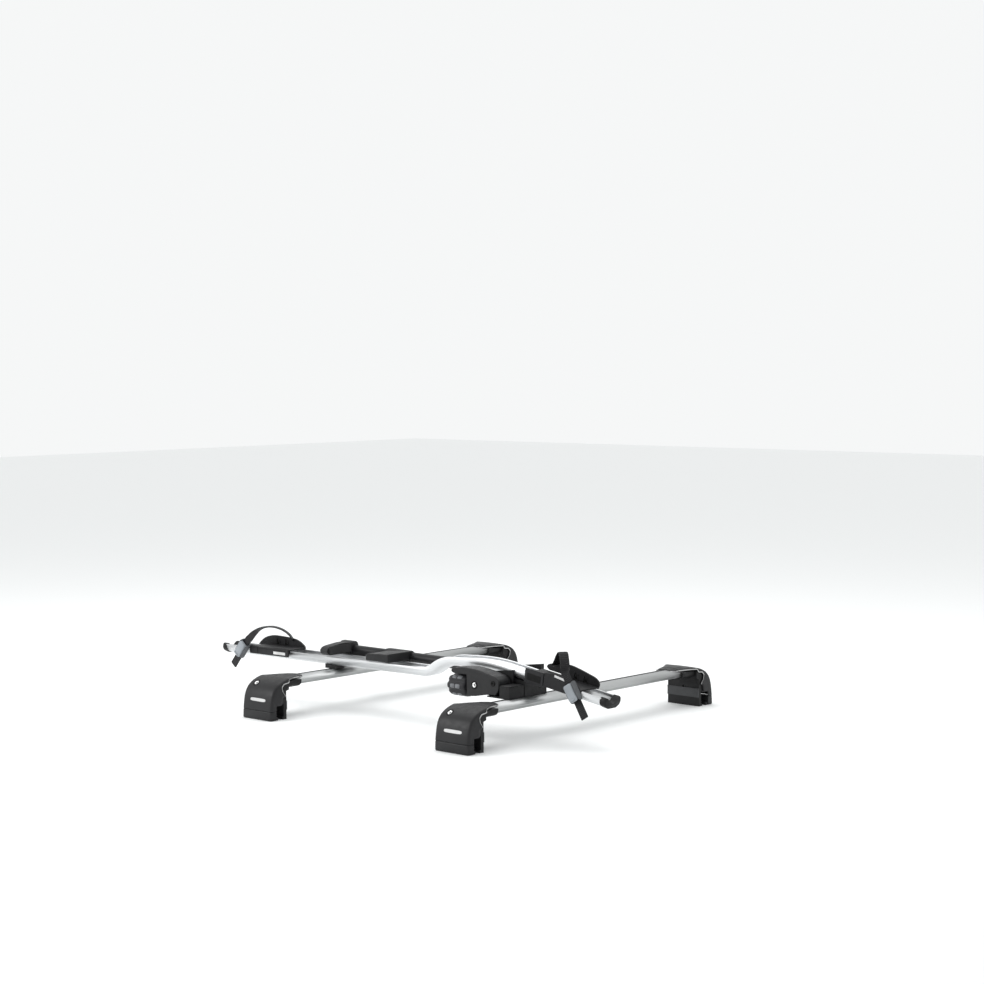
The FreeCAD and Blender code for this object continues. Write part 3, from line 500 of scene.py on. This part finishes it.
def cover_grid(side, bar_x):
    """Rows of points across the cover, from the lip's tip down to the skirt."""
    outer, inner = cover_lines()
    rows = []
    for i, (c, t) in enumerate(zip(outer, inner)):
        before, after = outer[max(i - 1, 0)], outer[min(i + 1, len(outer) - 1)]
        along = Vector((after[0] - before[0], after[1] - before[1])).normalized()
        out = Vector((-along.y, along.x))
        w = half_width(c[0])
        drop = max(0.0, 1 - (c[0] - 372) / 62)
        deep = math.dist(c, t)
        r = min(5.5, deep * 0.55)
        half_row = []
        for k in range(7):
            x = (w - r) * k / 6
            crown = CROWN * (1 - (x / w) ** 2) * (1 - drop) - LIP_SAG * drop * (x / 36) ** 2
            half_row.append((x, c[0] + out.x * crown, c[1] + out.y * crown))
        sag = -LIP_SAG * drop * (w / 36) ** 2
        for k in range(1, 5):
            phi = math.pi / 2 * (1 - k / 4)
            back = r * (1 - math.sin(phi)) - sag
            half_row.append((w - r + r * math.cos(phi), c[0] - out.x * back, c[1] - out.y * back))
        start = half_row[-1]
        end = (w, t[0], t[1] + sag * 0.8)
        for k in range(1, 6):
            s = k / 5
            half_row.append(tuple(a + (b - a) * s for a, b in zip(start, end)))
        row = [(-x, y, z) for x, y, z in reversed(half_row[1:])] + half_row
        rows.append([(bar_x + x, side * y, z) for x, y, z in row])
    return rows


def shell_piece(name, rows, body, replaced=()):
    """A thin moulded skin over the given rows, with its outside face up."""
    shell = make_piece(name, [loft(rows, closed=False, capped=False)], body, "cover_plastic", replaced)
    if shell.data.polygons[len(shell.data.polygons) // 2].normal.z < 0:
        shell.data.flip_normals()
    thick = shell.modifiers.new("wall", "SOLIDIFY")
    thick.thickness = SKIN * MM
    thick.offset = -1


def trim_rings(rows, column, stop):
    """A flat bright strip that wraps the skin's edge down one side of the foot."""
    hand, beside = (-1, 1) if column == 0 else (1, -2)
    rings = []
    for row in rows[:stop]:
        edge = Vector(row[column])
        up = Vector(row[beside]) - edge
        up = up.normalized() * SKIN if up.length > 0.05 else Vector((0, 0, 2.0))
        out = Vector((hand * 0.9, 0, 0))
        rings.append([tuple(edge - up * 0.15 - out), tuple(edge + up - out), tuple(edge + up + out),
                      tuple(edge - up * 0.15 + out)])
    return rings


def foot_cover(foot, bar_x, side):
    """The hinged cover, and the short fixed lip that it meets at its hinge line."""
    rows = cover_grid(side, bar_x)
    centre = len(rows[0]) // 2
    meet = min(range(len(rows)), key=lambda i: abs(abs(rows[i][centre][1]) - COVER_START))
    lip = rows[:meet] + [[(x, side * LIP_END, z) for x, _, z in rows[meet]]]
    swing = [[(x, side * COVER_START, z) for x, _, z in rows[meet]]] + rows[meet + 1:]
    shell_piece(f"foot_shell_{foot}", swing, f"cover_{foot}", (f"cover_{foot}",))
    shell_piece(f"foot_lip_{foot}", lip, "root")
    stop = next(i for i, row in enumerate(swing) if abs(row[0][1]) < 446 and row[0][2] < 63) + 1
    for which, column in (("rear", 0), ("front", -1)):
        make_piece(f"edge_trim_{foot}_{which}", [loft(trim_rings(swing, column, stop))], f"cover_{foot}",
                   "trim_silver", (f"cover_trim_{foot}",), rounding=0.3, steps=2)
        make_piece(f"lip_trim_{foot}_{which}", [loft(trim_rings(lip, column, len(lip)))], "root", "trim_silver",
                   rounding=0.3, steps=2)


def lock_seat(foot, side):
    """The near-black ring, painted shade of the lock's recess, and the bright key barrel on the cover's shoulder.
    """
    lean = math.radians(37)
    out = Vector((0, side * math.sin(lean), math.cos(lean)))
    centre = Vector((middle(f"cover_lock_{foot}", 0), side * 471.6, 93.7)) + out
    ring = [(7.0, -3.0), (6.9, 0.1), (7.4, 0.3), (8.8, 1.2), (9.8, 1.1), (10.4, 0.2), (10.4, -3.0)]
    make_piece(f"lock_bezel_{foot}", [lathe(ring, centre, out)], f"cover_{foot}", BLACK_AND_PAINTED_SHADE)
    barrel = [(0.01, -9), (6.4, -9), (6.4, 0.3), (6.0, 0.8), (4.4, 0.9), (4.2, 0.5), (0.01, 0.5)]
    slot_turn = Matrix.Translation(centre) @ out.to_track_quat("Z", "Y").to_matrix().to_4x4()
    make_piece(f"key_barrel_{foot}", [lathe(barrel, centre, out)], f"key_{foot}", "lock_chrome",
               (f"cover_lock_{foot}",))
    # Painted shade: a thin near-black box on the barrel's face for the keyhole.
    make_piece(f"key_slot_{foot}", [moved(cuboid((-0.6, -3.2, 0.3), (0.6, 3.2, 0.75)), slot_turn)], f"key_{foot}",
               BLACK_AND_PAINTED_SHADE)


def clamp_claw(foot, bar_x, side):
    """The lower band of the foot: skirt with rounded corners, hook under the rail, leg up to the bolt."""
    corner = 6.0

    def plan(inset, outer):
        h = COVER_HALF - inset
        o = outer - inset
        arc = [(h - corner + corner * math.cos(a), o - corner + corner * math.sin(a))
               for a in (math.pi / 8 * k for k in range(5))]
        return [(h, 478.2)] + arc + [(-x, y) for x, y in reversed(arc)] + [(-h, 478.2)]

    def block(half, inner, outer, bottom, top):
        near, far = sorted((side * inner, side * outer))
        return cuboid((bar_x - half, near, bottom), (bar_x + half, far, top))
    rings = []
    for z, inset, outer in ((0.4, 2.2, 500), (1.2, 0.8, 500), (3.0, 0.0, 500), (22.5, 0.0, 499.5),
                            (24.4, 0.3, 499.4), (25.2, 1.2, 499.4)):
        rings.append([(bar_x + x, side * y, z) for x, y in plan(inset, outer)])
    hook = block(55, 470.6, 482, 0.2, 8)
    leg = block(25, 478.3, 482.9, 20, 59)
    make_piece(f"claw_skirt_{foot}", [loft(rings), hook, leg], f"claw_{foot}", "cover_plastic",
               (f"clamp_claw_{foot}",), rounding=0.7, steps=2, angle=50)


def outer_mark(foot, bar_x, side):
    """A plain pale plate where a maker would put a name."""
    ring = []
    for k in range(24):
        a = 2 * math.pi * k / 24
        ring.append((3 + 30 * squared(a, 0.35)[0], 54 + 4.2 * squared(a, 0.6)[1]))

    def face(z):
        line = through(SHOULDER, 8)
        return next(a[0] + (b[0] - a[0]) * (z - a[1]) / (b[1] - a[1]) for a, b in zip(line, line[1:])
                    if b[1] <= z <= a[1] and a[1] != b[1])
    rings = [[(bar_x + x, side * (face(z) + CROWN * (1 - (x / COVER_HALF) ** 2) + lift), z) for x, z in ring]
             for lift in (-0.6, 0.45)]
    make_piece(f"plain_mark_{foot}", [loft(rings)], f"cover_{foot}", MARK, rounding=0.25,
               steps=2)


def make_feet():
    """The four feet, alike but for their place and side."""
    for foot, bar_x, side in FEET:
        foot_cover(foot, bar_x, side)
        lock_seat(foot, side)
        clamp_claw(foot, bar_x, side)
        outer_mark(foot, bar_x, side)


# ---------------------------------------------------------------- wheel rail

RAIL_Y = middle("wheel_rail", 1)
RAIL_CORNERS = [(-712.0, 114.0), (112.0, 122.2), (170.0, 159.5), (320.0, 167.0), (708.0, 106.6)]
RAIL_TANGENTS = (30, 30, 60)


def rail_line():
    """The rail's underside: straight runs and tangent arcs in side view."""
    line = [RAIL_CORNERS[0]]
    for before, corner, after, tangent in zip(RAIL_CORNERS, RAIL_CORNERS[1:], RAIL_CORNERS[2:], RAIL_TANGENTS):
        corner = Vector(corner)
        back = (Vector(before) - corner).normalized()
        on = (Vector(after) - corner).normalized()
        half = back.angle(on) / 2
        radius = tangent * math.tan(half)
        centre = corner + (back + on).normalized() * (tangent / math.cos(half))
        first = corner + back * tangent - centre
        last = corner + on * tangent - centre
        for k in range(13):
            way = first.lerp(last, k / 12).normalized() * radius
            line.append(tuple(centre + way))
    line.append(RAIL_CORNERS[-1])
    return line


def rail_floor(x):
    line = rail_line()
    for a, b in zip(line, line[1:]):
        if a[0] <= x <= b[0]:
            return a[1] + (b[1] - a[1]) * (x - a[0]) / (b[0] - a[0])
    return line[0][1] if x < line[0][0] else line[-1][1]


def wheel_rail():
    """A channel with curled lips, swept along the rail's line."""
    right = [(0, 0), (13, 0), (15, 0.6), (24.6, 6.2), (26.6, 8.2), (29.4, 14.2), (30, 16.4), (30, 23), (29.4, 24.6),
             (28, 25.3), (26.2, 25), (25.4, 23.6), (26.2, 22.4), (27.6, 22), (27.8, 17), (27.2, 15), (24.2, 9.4),
             (23, 8), (14, 2.8), (12.6, 2.3), (4, 2.3), (3, 3.0), (0, 3.0)]
    section = right + [(-x, z) for x, z in reversed(right[1:-1])]
    line = rail_line()
    rings = []
    for i, (x, z) in enumerate(line):
        a, b = line[max(i - 1, 0)], line[min(i + 1, len(line) - 1)]
        along = Vector((b[0] - a[0], b[1] - a[1])).normalized()
        rings.append([(x - along.y * h, RAIL_Y + w, z + along.x * h) for w, h in section])
    make_piece("aluminium_rail", [loft(rings)], "root", "rail_aluminium", ("wheel_rail",))


def slope_at(x):
    return math.atan2(rail_floor(x + 2) - rail_floor(x - 2), 4)


def on_rail(part, x):
    """Moves a part drawn about the rail's underside to where the rail passes x."""
    place = Matrix.Translation((x, RAIL_Y, rail_floor(x))) @ Matrix.Rotation(-slope_at(x), 4, "Y")
    return moved(part, place)


def rail_caps():
    """End caps with two lobes that follow the rail's curled lips."""
    right = [(14, -1), (26, 5.5), (30.5, 12), (31.3, 19), (29, 25.5), (24, 27.6), (18.5, 24.5), (9, 15), (0, 10.5)]
    outline = through(right, 4) + [(-x, z) for x, z in reversed(through(right, 4)[:-1])]
    for end, x, out in (("rear", RAIL_CORNERS[0][0], -1), ("front", RAIL_CORNERS[-1][0], 1)):
        slope = math.atan2(rail_floor(x + 2 * (out < 0)) - rail_floor(x - 2 * (out > 0)), 2)
        place = Matrix.Translation((x, RAIL_Y, rail_floor(x))) @ Matrix.Rotation(-slope, 4, "Y")
        rings = []
        core = 12
        for far, shrink in ((-6, 0.985), (0.4, 1.0), (9, 1.0), (11.6, 0.96), (12.6, 0.9)):
            rings.append([(out * far, w * shrink, core + (h - core) * shrink) for w, h in outline])
        make_piece(f"end_cap_{end}", [moved(loft(rings), place)], "root", "body_plastic", (f"rail_cap_{end}",),
                   rounding=0.8, steps=2, angle=50)


# ---------------------------------------------------------------- frame arm


KEY_BARREL = [(0.01, -11), (6.4, -11), (6.4, 0.4), (6.0, 0.9), (4.4, 1.0), (4.2, 0.6), (0.01, 0.6)]
TOWARDS_NEAR = (0, -1, 0)


def arm_pieces():
    """The casing that carries the knob, its back plate, the lock and the pivot's cap."""
    near, back = span("arm_housing")[0][1], span("housing_back")[1][1]
    outline = [(305, 101), (305, 156), (260, 156)]
    outline += through([(260, 156), (252, 159), (252, 166), (262, 171)], 4)[1:]
    outline += through([(262, 171), (300, 174.5), (342, 172), (375, 166), (404, 160)], 5)[1:]
    outline += through([(404, 160), (415, 152), (418, 142), (416, 126), (406, 112)], 5)[1:]
    outline += [(390, 111.4), (374, 110.9), (355, 107.2), (335, 103.5), (320, 102)]
    make_piece("arm_casing", [slab(outline, near, near + 38)], "frame_arm", "casing_plastic", ("arm_housing",),
               rounding=4.5, steps=5, angle=40)
    middle_x, middle_z, smaller = 333, 136, 0.985
    rim = [(middle_x + (x - middle_x) * smaller, middle_z + (z - middle_z) * smaller) for x, z in outline]
    make_piece("arm_casing_back", [slab(rim, near + 38.3, back)], "frame_arm", "casing_plastic", ("housing_back",),
               rounding=2.0, steps=3, angle=40)
    lock = Vector((middle("arm_lock", 0), near, middle("arm_lock", 2)))
    ring = [(7.0, -2), (7.0, 0.4), (7.4, 1.2), (9.4, 1.4), (10.6, 0.6), (10.8, -2)]
    # Painted shade: the near-black ring stands for the shade in the lock's recess.
    make_piece("arm_lock_ring", [lathe(ring, lock, TOWARDS_NEAR)], "frame_arm", BLACK_AND_PAINTED_SHADE)
    make_piece("arm_key_barrel", [lathe(KEY_BARREL, lock, TOWARDS_NEAR)], "arm_key", "lock_chrome", ("arm_lock",))
    # Painted shade: a thin near-black box on the barrel's face for the keyhole.
    slot_box = cuboid((lock.x - 0.6, near - 0.9, lock.z - 3.2), (lock.x + 0.6, near - 0.4, lock.z + 3.2))
    make_piece("arm_key_slot", [slot_box], "arm_key", BLACK_AND_PAINTED_SHADE)
    screw = [(0.01, -1), (7.5, -1), (7.5, 1.0), (6.6, 1.8), (3.2, 1.9), (3.0, 0.6), (0.01, 0.6)]
    pivot = (398, near, 142)
    make_piece("pivot_cap", [lathe(screw, pivot, TOWARDS_NEAR)], "frame_arm", BLACK_AND_PAINTED_SHADE)


KNOB_LOBES = 7


def knob_radius(angle, size):
    """Seven rounded lobes with finger hollows between them."""
    return size * (1 - 0.15 * (0.5 + 0.5 * math.cos(KNOB_LOBES * angle)) ** 2.2)


def knob():
    """The lobed torque knob with two rows of soft grips."""
    low, high = span("torque_knob")
    y, z = middle("torque_knob", 1), middle("torque_knob", 2)
    size = (high[2] - low[2]) / 2
    long = high[0] - low[0]
    around = 84
    rings = []
    for share, scale in ((0.0, 0.05), (0.0, 0.62), (0.012, 0.78), (0.05, 0.9), (0.12, 0.97), (0.25, 1.0),
                         (0.8, 1.0), (0.93, 0.97), (0.985, 0.9), (1.0, 0.8), (1.0, 0.05)):
        ring = []
        for k in range(around):
            a = 2 * math.pi * k / around
            reach = knob_radius(a, size) * scale
            ring.append((low[0] + long * share, y + reach * math.cos(a), z + reach * math.sin(a)))
        rings.append(ring)
    make_piece("turning_knob", [loft(rings)], "knob", "knob_plastic", ("torque_knob",), angle=50)
    grips = []
    for lobe in range(KNOB_LOBES):
        mid = 2 * math.pi * (lobe + 0.5) / KNOB_LOBES
        for start, end in ((0.26, 0.5), (0.54, 0.8)):
            rows = []
            for lift, half_angle in ((-0.6, 0.19), (0.5, 0.19), (0.8, 0.18)):
                ring = []
                for k in range(20):
                    wide, long_way = squared(2 * math.pi * k / 20, 0.5)
                    across = wide * half_angle
                    along = long_way * (end - start) / 2
                    reach = knob_radius(mid + across, size) + lift
                    ring.append((low[0] + long * ((start + end) / 2 + along), y + reach * math.cos(mid + across),
                                 z + reach * math.sin(mid + across)))
                rows.append(ring)
            grips.append(loft(rows))
    make_piece("knob_grips", grips, "knob", GRIP, angle=50)


TUBE_Y = middle("arm_tube", 1)
SLEEVE_HALF, SLEEVE_CORNERS = 16.5, 0.62


def sleeve(x0, x1, low_z, high_z):
    """Softly squared collar around the arm tube."""
    rings = []
    mid = (low_z + high_z) / 2
    tall = (high_z - low_z) / 2
    for share, shrink in ((0.0, 0.84), (0.03, 0.93), (0.09, 1.0), (0.91, 1.0), (0.97, 0.93), (1.0, 0.84)):
        ring = []
        for k in range(40):
            across, up = squared(2 * math.pi * k / 40, SLEEVE_CORNERS)
            ring.append((x0 + (x1 - x0) * share, TUBE_Y + shrink * SLEEVE_HALF * across, mid + shrink * tall * up))
        rings.append(ring)
    return loft(rings)


def upper_claw():
    low, high = span("upper_jaw")
    face = high[0]
    outline = [(-150, 148)]
    outline += through([(-150, 174), (-187, 177.5), (-220, 175), (-245, 171.5), (-255, 166), (-258, 160),
                        (-254, 152), (-246, 147.8)], 4)
    outline += [(-225, 147.5), (-200, 147.5)]
    block = slab(outline, face - 28, face, "X")
    collar = sleeve(low[0] + 6, face - 0.5, low[2], high[2] - 4)
    make_piece("upper_claw", [block, collar], "frame_arm", "casing_plastic", ("upper_jaw",), rounding=3.5, steps=4,
               angle=40)


def lower_claw():
    """The moving claw: its section in side view, drawn back towards both ends."""
    low, high = span("lower_jaw")
    tip, heel, top = low[0], high[0], 171.4
    side_view = [(tip + 2, 147.5), (tip + 2, 155), (tip + 8, 161), (tip + 20, 166.4), (tip + 60, 169), (heel, top),
                 (heel, 147.5)]
    rings = []
    for y, back, down in ((-244, 16, 2.2), (-240, 7, 0.6), (-232, 2.5, 0.0), (-205, 0.0, 0.0), (-180, 0.0, 0.0),
                          (-160, 2.0, 0.0), (-146, 8, 0.5)):
        rings.append([(max(x, tip + 2 + back) if x < heel - 5 else x - back * 0.22, y, min(z, top - down))
                      for x, z in side_view])
    make_piece("lower_claw", [loft(rings), sleeve(tip, heel - 4, low[2], 170.5)], "sliding_jaw",
               "casing_plastic", ("lower_jaw",), rounding=2.2, steps=4, angle=30)


# ---------------------------------------------------------------- wheel holders, straps and buckles

FRONT_X, REAR_X, STRAP_Y = 590, -500, -254
BUCKLES = {"front": (632, 140, -31.0), "rear": (-617, 136, 40.0)}


def holder_saddle(start, end):
    """The part of a holder that wraps the rail, drawn about the rail."""
    section = [(-30.4, 25.4), (30.4, 25.4), (30.4, 8), (34.4, 8), (34.6, 26), (33, 28.6), (30, 29.4), (-30, 29.4),
               (-33, 28.6), (-34.6, 26), (-34.4, 8), (-30.4, 8)]
    return slab(section, start, end, "X")


def ridge(start, end, tall, y, wide, thick):
    """A standing rib on a wall's face, drawn about the rail."""
    return slab([(start, tall[0]), (start + wide, tall[0]), (end + wide, tall[1]), (end, tall[1])], y, y + thick)


SADDLE_WALLS = {"near": (-38, -33), "far": (33, 38)}


def cradle(place, x, saddle, near_wall, far_wall):
    """A holder's saddle with its low near wall and its tall far wall."""
    parts = [holder_saddle(*saddle), slab(near_wall, *SADDLE_WALLS["near"]), slab(far_wall, *SADDLE_WALLS["far"])]
    make_piece(f"{place}_cradle", [on_rail(part, x) for part in parts], f"{place}_holder", "holder_plastic",
               (f"wheel_holder_{place}",), rounding=1.4, steps=3, angle=40)


def wheel_holders():
    flange = [(-66, 8), (-66, 43)] + through([(-62, 45), (-52, 46.5), (-36, 50), (-10, 50), (20, 47), (38, 42),
                                              (50, 33), (55, 20), (50, 8)], 5)
    hump = [(40, 8), (-66, 8), (-66, 31), (-108, 31)] + through(
        [(-112, 31.5), (-120, 38), (-114, 46), (-98, 51), (-70, 57), (-44, 61), (-17, 59), (20, 53.5), (45, 48),
         (56, 36), (52, 20)], 5)
    cradle("front", FRONT_X, (-66, 54), flange, hump)
    near_side = [(66, 9), (-94, 8.5)]
    near_side += through([(-98, 26), (-94, 31), (-86, 32.5), (-66, 31.5), (-56, 29.5)], 4)
    near_side += [(0, 31.5), (64, 34.5), (69, 31), (70, 12)]
    rear_hump = [(40, 8), (-96, 8), (-136, 13)] + through(
        [(-140, 18), (-134, 28), (-112, 44), (-88, 52), (-62, 55), (-10, 53.5), (24, 50), (46, 42), (62, 30),
         (58, 15)], 5)
    cradle("rear", REAR_X, (-96, 66), near_side, rear_hump)
    for place, x, slots, rim in (("front", FRONT_X, (-62, -30, 2), 54), ("rear", REAR_X, (-60, -24), 53)):
        ribs, dark = [], []
        for start in slots:
            ribs.append(on_rail(ridge(start, start + 3, (30, rim - 6), 31.4, 3, 2), x))
            ribs.append(on_rail(ridge(start + 15, start + 12, (30, rim - 9), 31.4, 3, 2), x))
            # Painted shade: a thin near-black sheet between each pair of ribs stands for the shade in the slot.
            opening = [(start + 4, 31), (start + 14, 31), (start + 11, rim - 10), (start + 7, rim - 9)]
            dark.append(on_rail(slab(opening, 32.5, 33.3), x))
        make_piece(f"{place}_cradle_ribs", ribs, f"{place}_holder", "holder_plastic", rounding=0.5, steps=2)
        make_piece(f"{place}_cradle_slot_shade", dark, f"{place}_holder", BLACK_AND_PAINTED_SHADE)
    # Painted shade: thin near-black strips along the near wall's groove and down its edge.
    groove = on_rail(cuboid((-84, -38.5, 25), (58, -37.7, 26.2)), REAR_X)
    edge = on_rail(cuboid((-62, -38.8, 10.5), (-59.5, -37.6, 29)), REAR_X)
    make_piece("rear_cradle_lines", [groove, edge], "rear_holder", BLACK_AND_PAINTED_SHADE, rounding=0.2,
               steps=2)
    plate = on_rail(cuboid((8, -38.9, 13.5), (58, -37.8, 21.5)), REAR_X)
    bar = on_rail(slab([(-32, 41), (10, 38), (10, 44), (-32, 47)], -38.7, -37.8), FRONT_X)
    make_piece("plain_plate_rear", [plate], "rear_holder", MARK, rounding=0.4, steps=2)
    make_piece("plain_plate_front", [bar], "front_holder", MARK, rounding=0.4, steps=2)
    label = on_rail(cuboid((-122, -38.9, 12), (-76, -37.8, 30)), FRONT_X)
    make_piece("collar_plate", [label], "front_holder", BLACK_AND_PAINTED_SHADE, rounding=0.8, steps=2)


def strap_path(place):
    """Points and across directions from the tail's tip through the buckle and over the wheel."""
    x, z, angle = BUCKLES[place]
    lean = math.radians(angle)
    if place == "front":
        start, turned, low, high, twist = 606, math.radians(141.7), -72, 46, 26
        bow = [(2, 192), (9, 212), (19, 227), (33, 233), (60, 222.5), (90, 204), (108, 194.5), (125, 188.5)]
    else:
        start, turned, low, high, twist = -590, math.radians(39), -68, 32, 80
        bow = [(2, 168), (14, 181), (32, 194.5), (52, 200.5), (75, 200), (98, 192), (117, 178), (128, 162)]
    run = [(x + t * math.sin(lean), STRAP_Y, z + t * math.cos(lean)) for t in (low, (low + high) / 2, high)]
    arch = [(start + s * math.cos(turned), STRAP_Y + s * math.sin(turned), h) for s, h in bow]
    line = resample(through(run + arch, 14), 190)
    flat = Vector((math.cos(lean), 0, -math.sin(lean)))
    side = Vector((-math.sin(turned), math.cos(turned), 0))
    if side.dot(flat) < 0:
        side = -side
    across = []
    gone = low - high
    for i, p in enumerate(line):
        gone += math.dist(p, line[i - 1]) if i else 0
        past = min(max(gone / twist, 0), 1)
        across.append(flat.lerp(side, past * past * (3 - 2 * past)).normalized())
    return line, across


def strap(place):
    """A toothed web swept along its path, with its teeth on one face."""
    line, across = strap_path(place)
    half = 12.0
    rings = []
    for i, (p, wide) in enumerate(zip(line, across)):
        a, b = line[max(i - 1, 0)], line[min(i + 1, len(line) - 1)]
        along = (Vector(b) - Vector(a)).normalized()
        out = along.cross(wide).normalized()
        if i and out.dot(last_out) < 0:
            out = -out
        elif not i and out.y > 0:
            out = -out
        last_out = out
        point = Vector(p)
        tooth = 0.75 if i % 3 == 0 else 0.0
        narrow = 0.86 if i in (0, len(line) - 1) else 1.0
        ring = []
        for u, h in ((-1.0, -0.9), (-0.93, -1.3), (0.93, -1.3), (1.0, -0.9), (1.0, 0.7), (0.93, 1.3), (0.78, 1.3),
                     (0.74, 0.9 + tooth), (-0.74, 0.9 + tooth), (-0.78, 1.3), (-0.93, 1.3), (-1.0, 0.7)):
            ring.append(tuple(point + wide * (u * half * narrow) + out * h))
        rings.append(ring)
    make_piece(f"ratchet_strap_{place}", [loft(rings)], f"{place}_holder", "strap_black", (f"strap_{place}",),
               smooth=False)


def buckle(place):
    """A frame with two cheeks and a pin, and the lever that turns on it."""
    x, z, angle = BUCKLES[place]
    stand = Matrix.Translation((x, STRAP_Y, z)) @ Matrix.Rotation(math.radians(angle), 4, "Y")

    def rounded(half, bottom, top, corner):
        ring = []
        for cx, cz, start in ((half - corner, top - corner, 0), (-half + corner, top - corner, 90),
                              (-half + corner, bottom + corner, 180), (half - corner, bottom + corner, 270)):
            for k in range(5):
                a = math.radians(start + 22.5 * k)
                ring.append((cx + corner * math.cos(a), cz + corner * math.sin(a)))
        return ring
    frame_part = slab(rounded(15.5, -25, 25, 4), 2, 5.5)
    cheek = [(4.0, -25), (4.0, 25)] + through([(-3, 25), (-11, 22), (-13, 15), (-12, -10), (-9, -22), (-3, -25)], 3)
    cheeks = [slab(cheek, -15.5, -12.6, "X"), slab(cheek, 12.6, 15.5, "X")]
    pin = lathe([(0.01, 0), (2, 0), (2, 29), (0.01, 29)], (-14.5, -8, 17), (1, 0, 0), 16)
    make_piece(f"buckle_frame_{place}", [moved(part, stand) for part in [frame_part, *cheeks, pin]],
               f"{place}_holder", DARK_GREY, (f"buckle_body_{place}",), rounding=0.8, steps=3,
               angle=40)
    rings = []
    for y, inset in ((-9.5, 1.2), (-11, 0.0), (-14.5, 0.0), (-16.4, 1.0), (-17.2, 2.8)):
        rings.append([(u * (12.2 - inset) / 12.2, y + 0.0016 * w * w - 0.02 * w, w * (1 - inset / 24))
                      for u, w in rounded(12.2, -24.5, 22, 5)])
    finger = cuboid((-9, -18.4, -21), (9, -16.2, -18))
    ear = lathe([(0.01, 0), (4.4, 0), (4.4, 23.6), (0.01, 23.6)], (-11.8, -8, 17), (1, 0, 0), 20)
    make_piece(f"buckle_handle_{place}", [moved(part, stand) for part in (loft(rings), finger, ear)],
               f"{place}_lever", "buckle_grey", (f"buckle_lever_{place}",), rounding=0.6, steps=2, angle=40)


def everything_else():
    """CAD pieces that already have their shape get rounded edges and their material."""
    slots = {entry["node"]: entry["material_slot"] for entry in frame["record"]["subparts"]}
    rounded = {"base_bracket": 1.8, "base_lids": 0.7, "rear_bracket": 1.0, "arm_hub": 2.5, "inner_jaw_plates": 0.6,
               "rail_pads": 0.8, "holder_collar_front": 1.0, "upper_jaw_pad": 1.0, "lower_jaw_pad": 0.8}
    for node, obj in frame["nodes"].items():
        obj.data.materials.clear()
        obj.data.materials.append(JAW_BAND if node == "inner_jaw_plates" else LOOKS[slots[node]])
        width = rounded.get(node, 1.2 if node.startswith("foot_body") else 0)
        if width:
            round_edges(obj, width, 3, 40)


make_camera()
make_studio()
everything_else()
for bar in ("front", "rear"):
    crossbar(bar)
make_feet()
wheel_rail()
rail_caps()
arm_pieces()
knob()
upper_claw()
lower_claw()
wheel_holders()
for place in ("front", "rear"):
    strap(place)
    buckle(place)
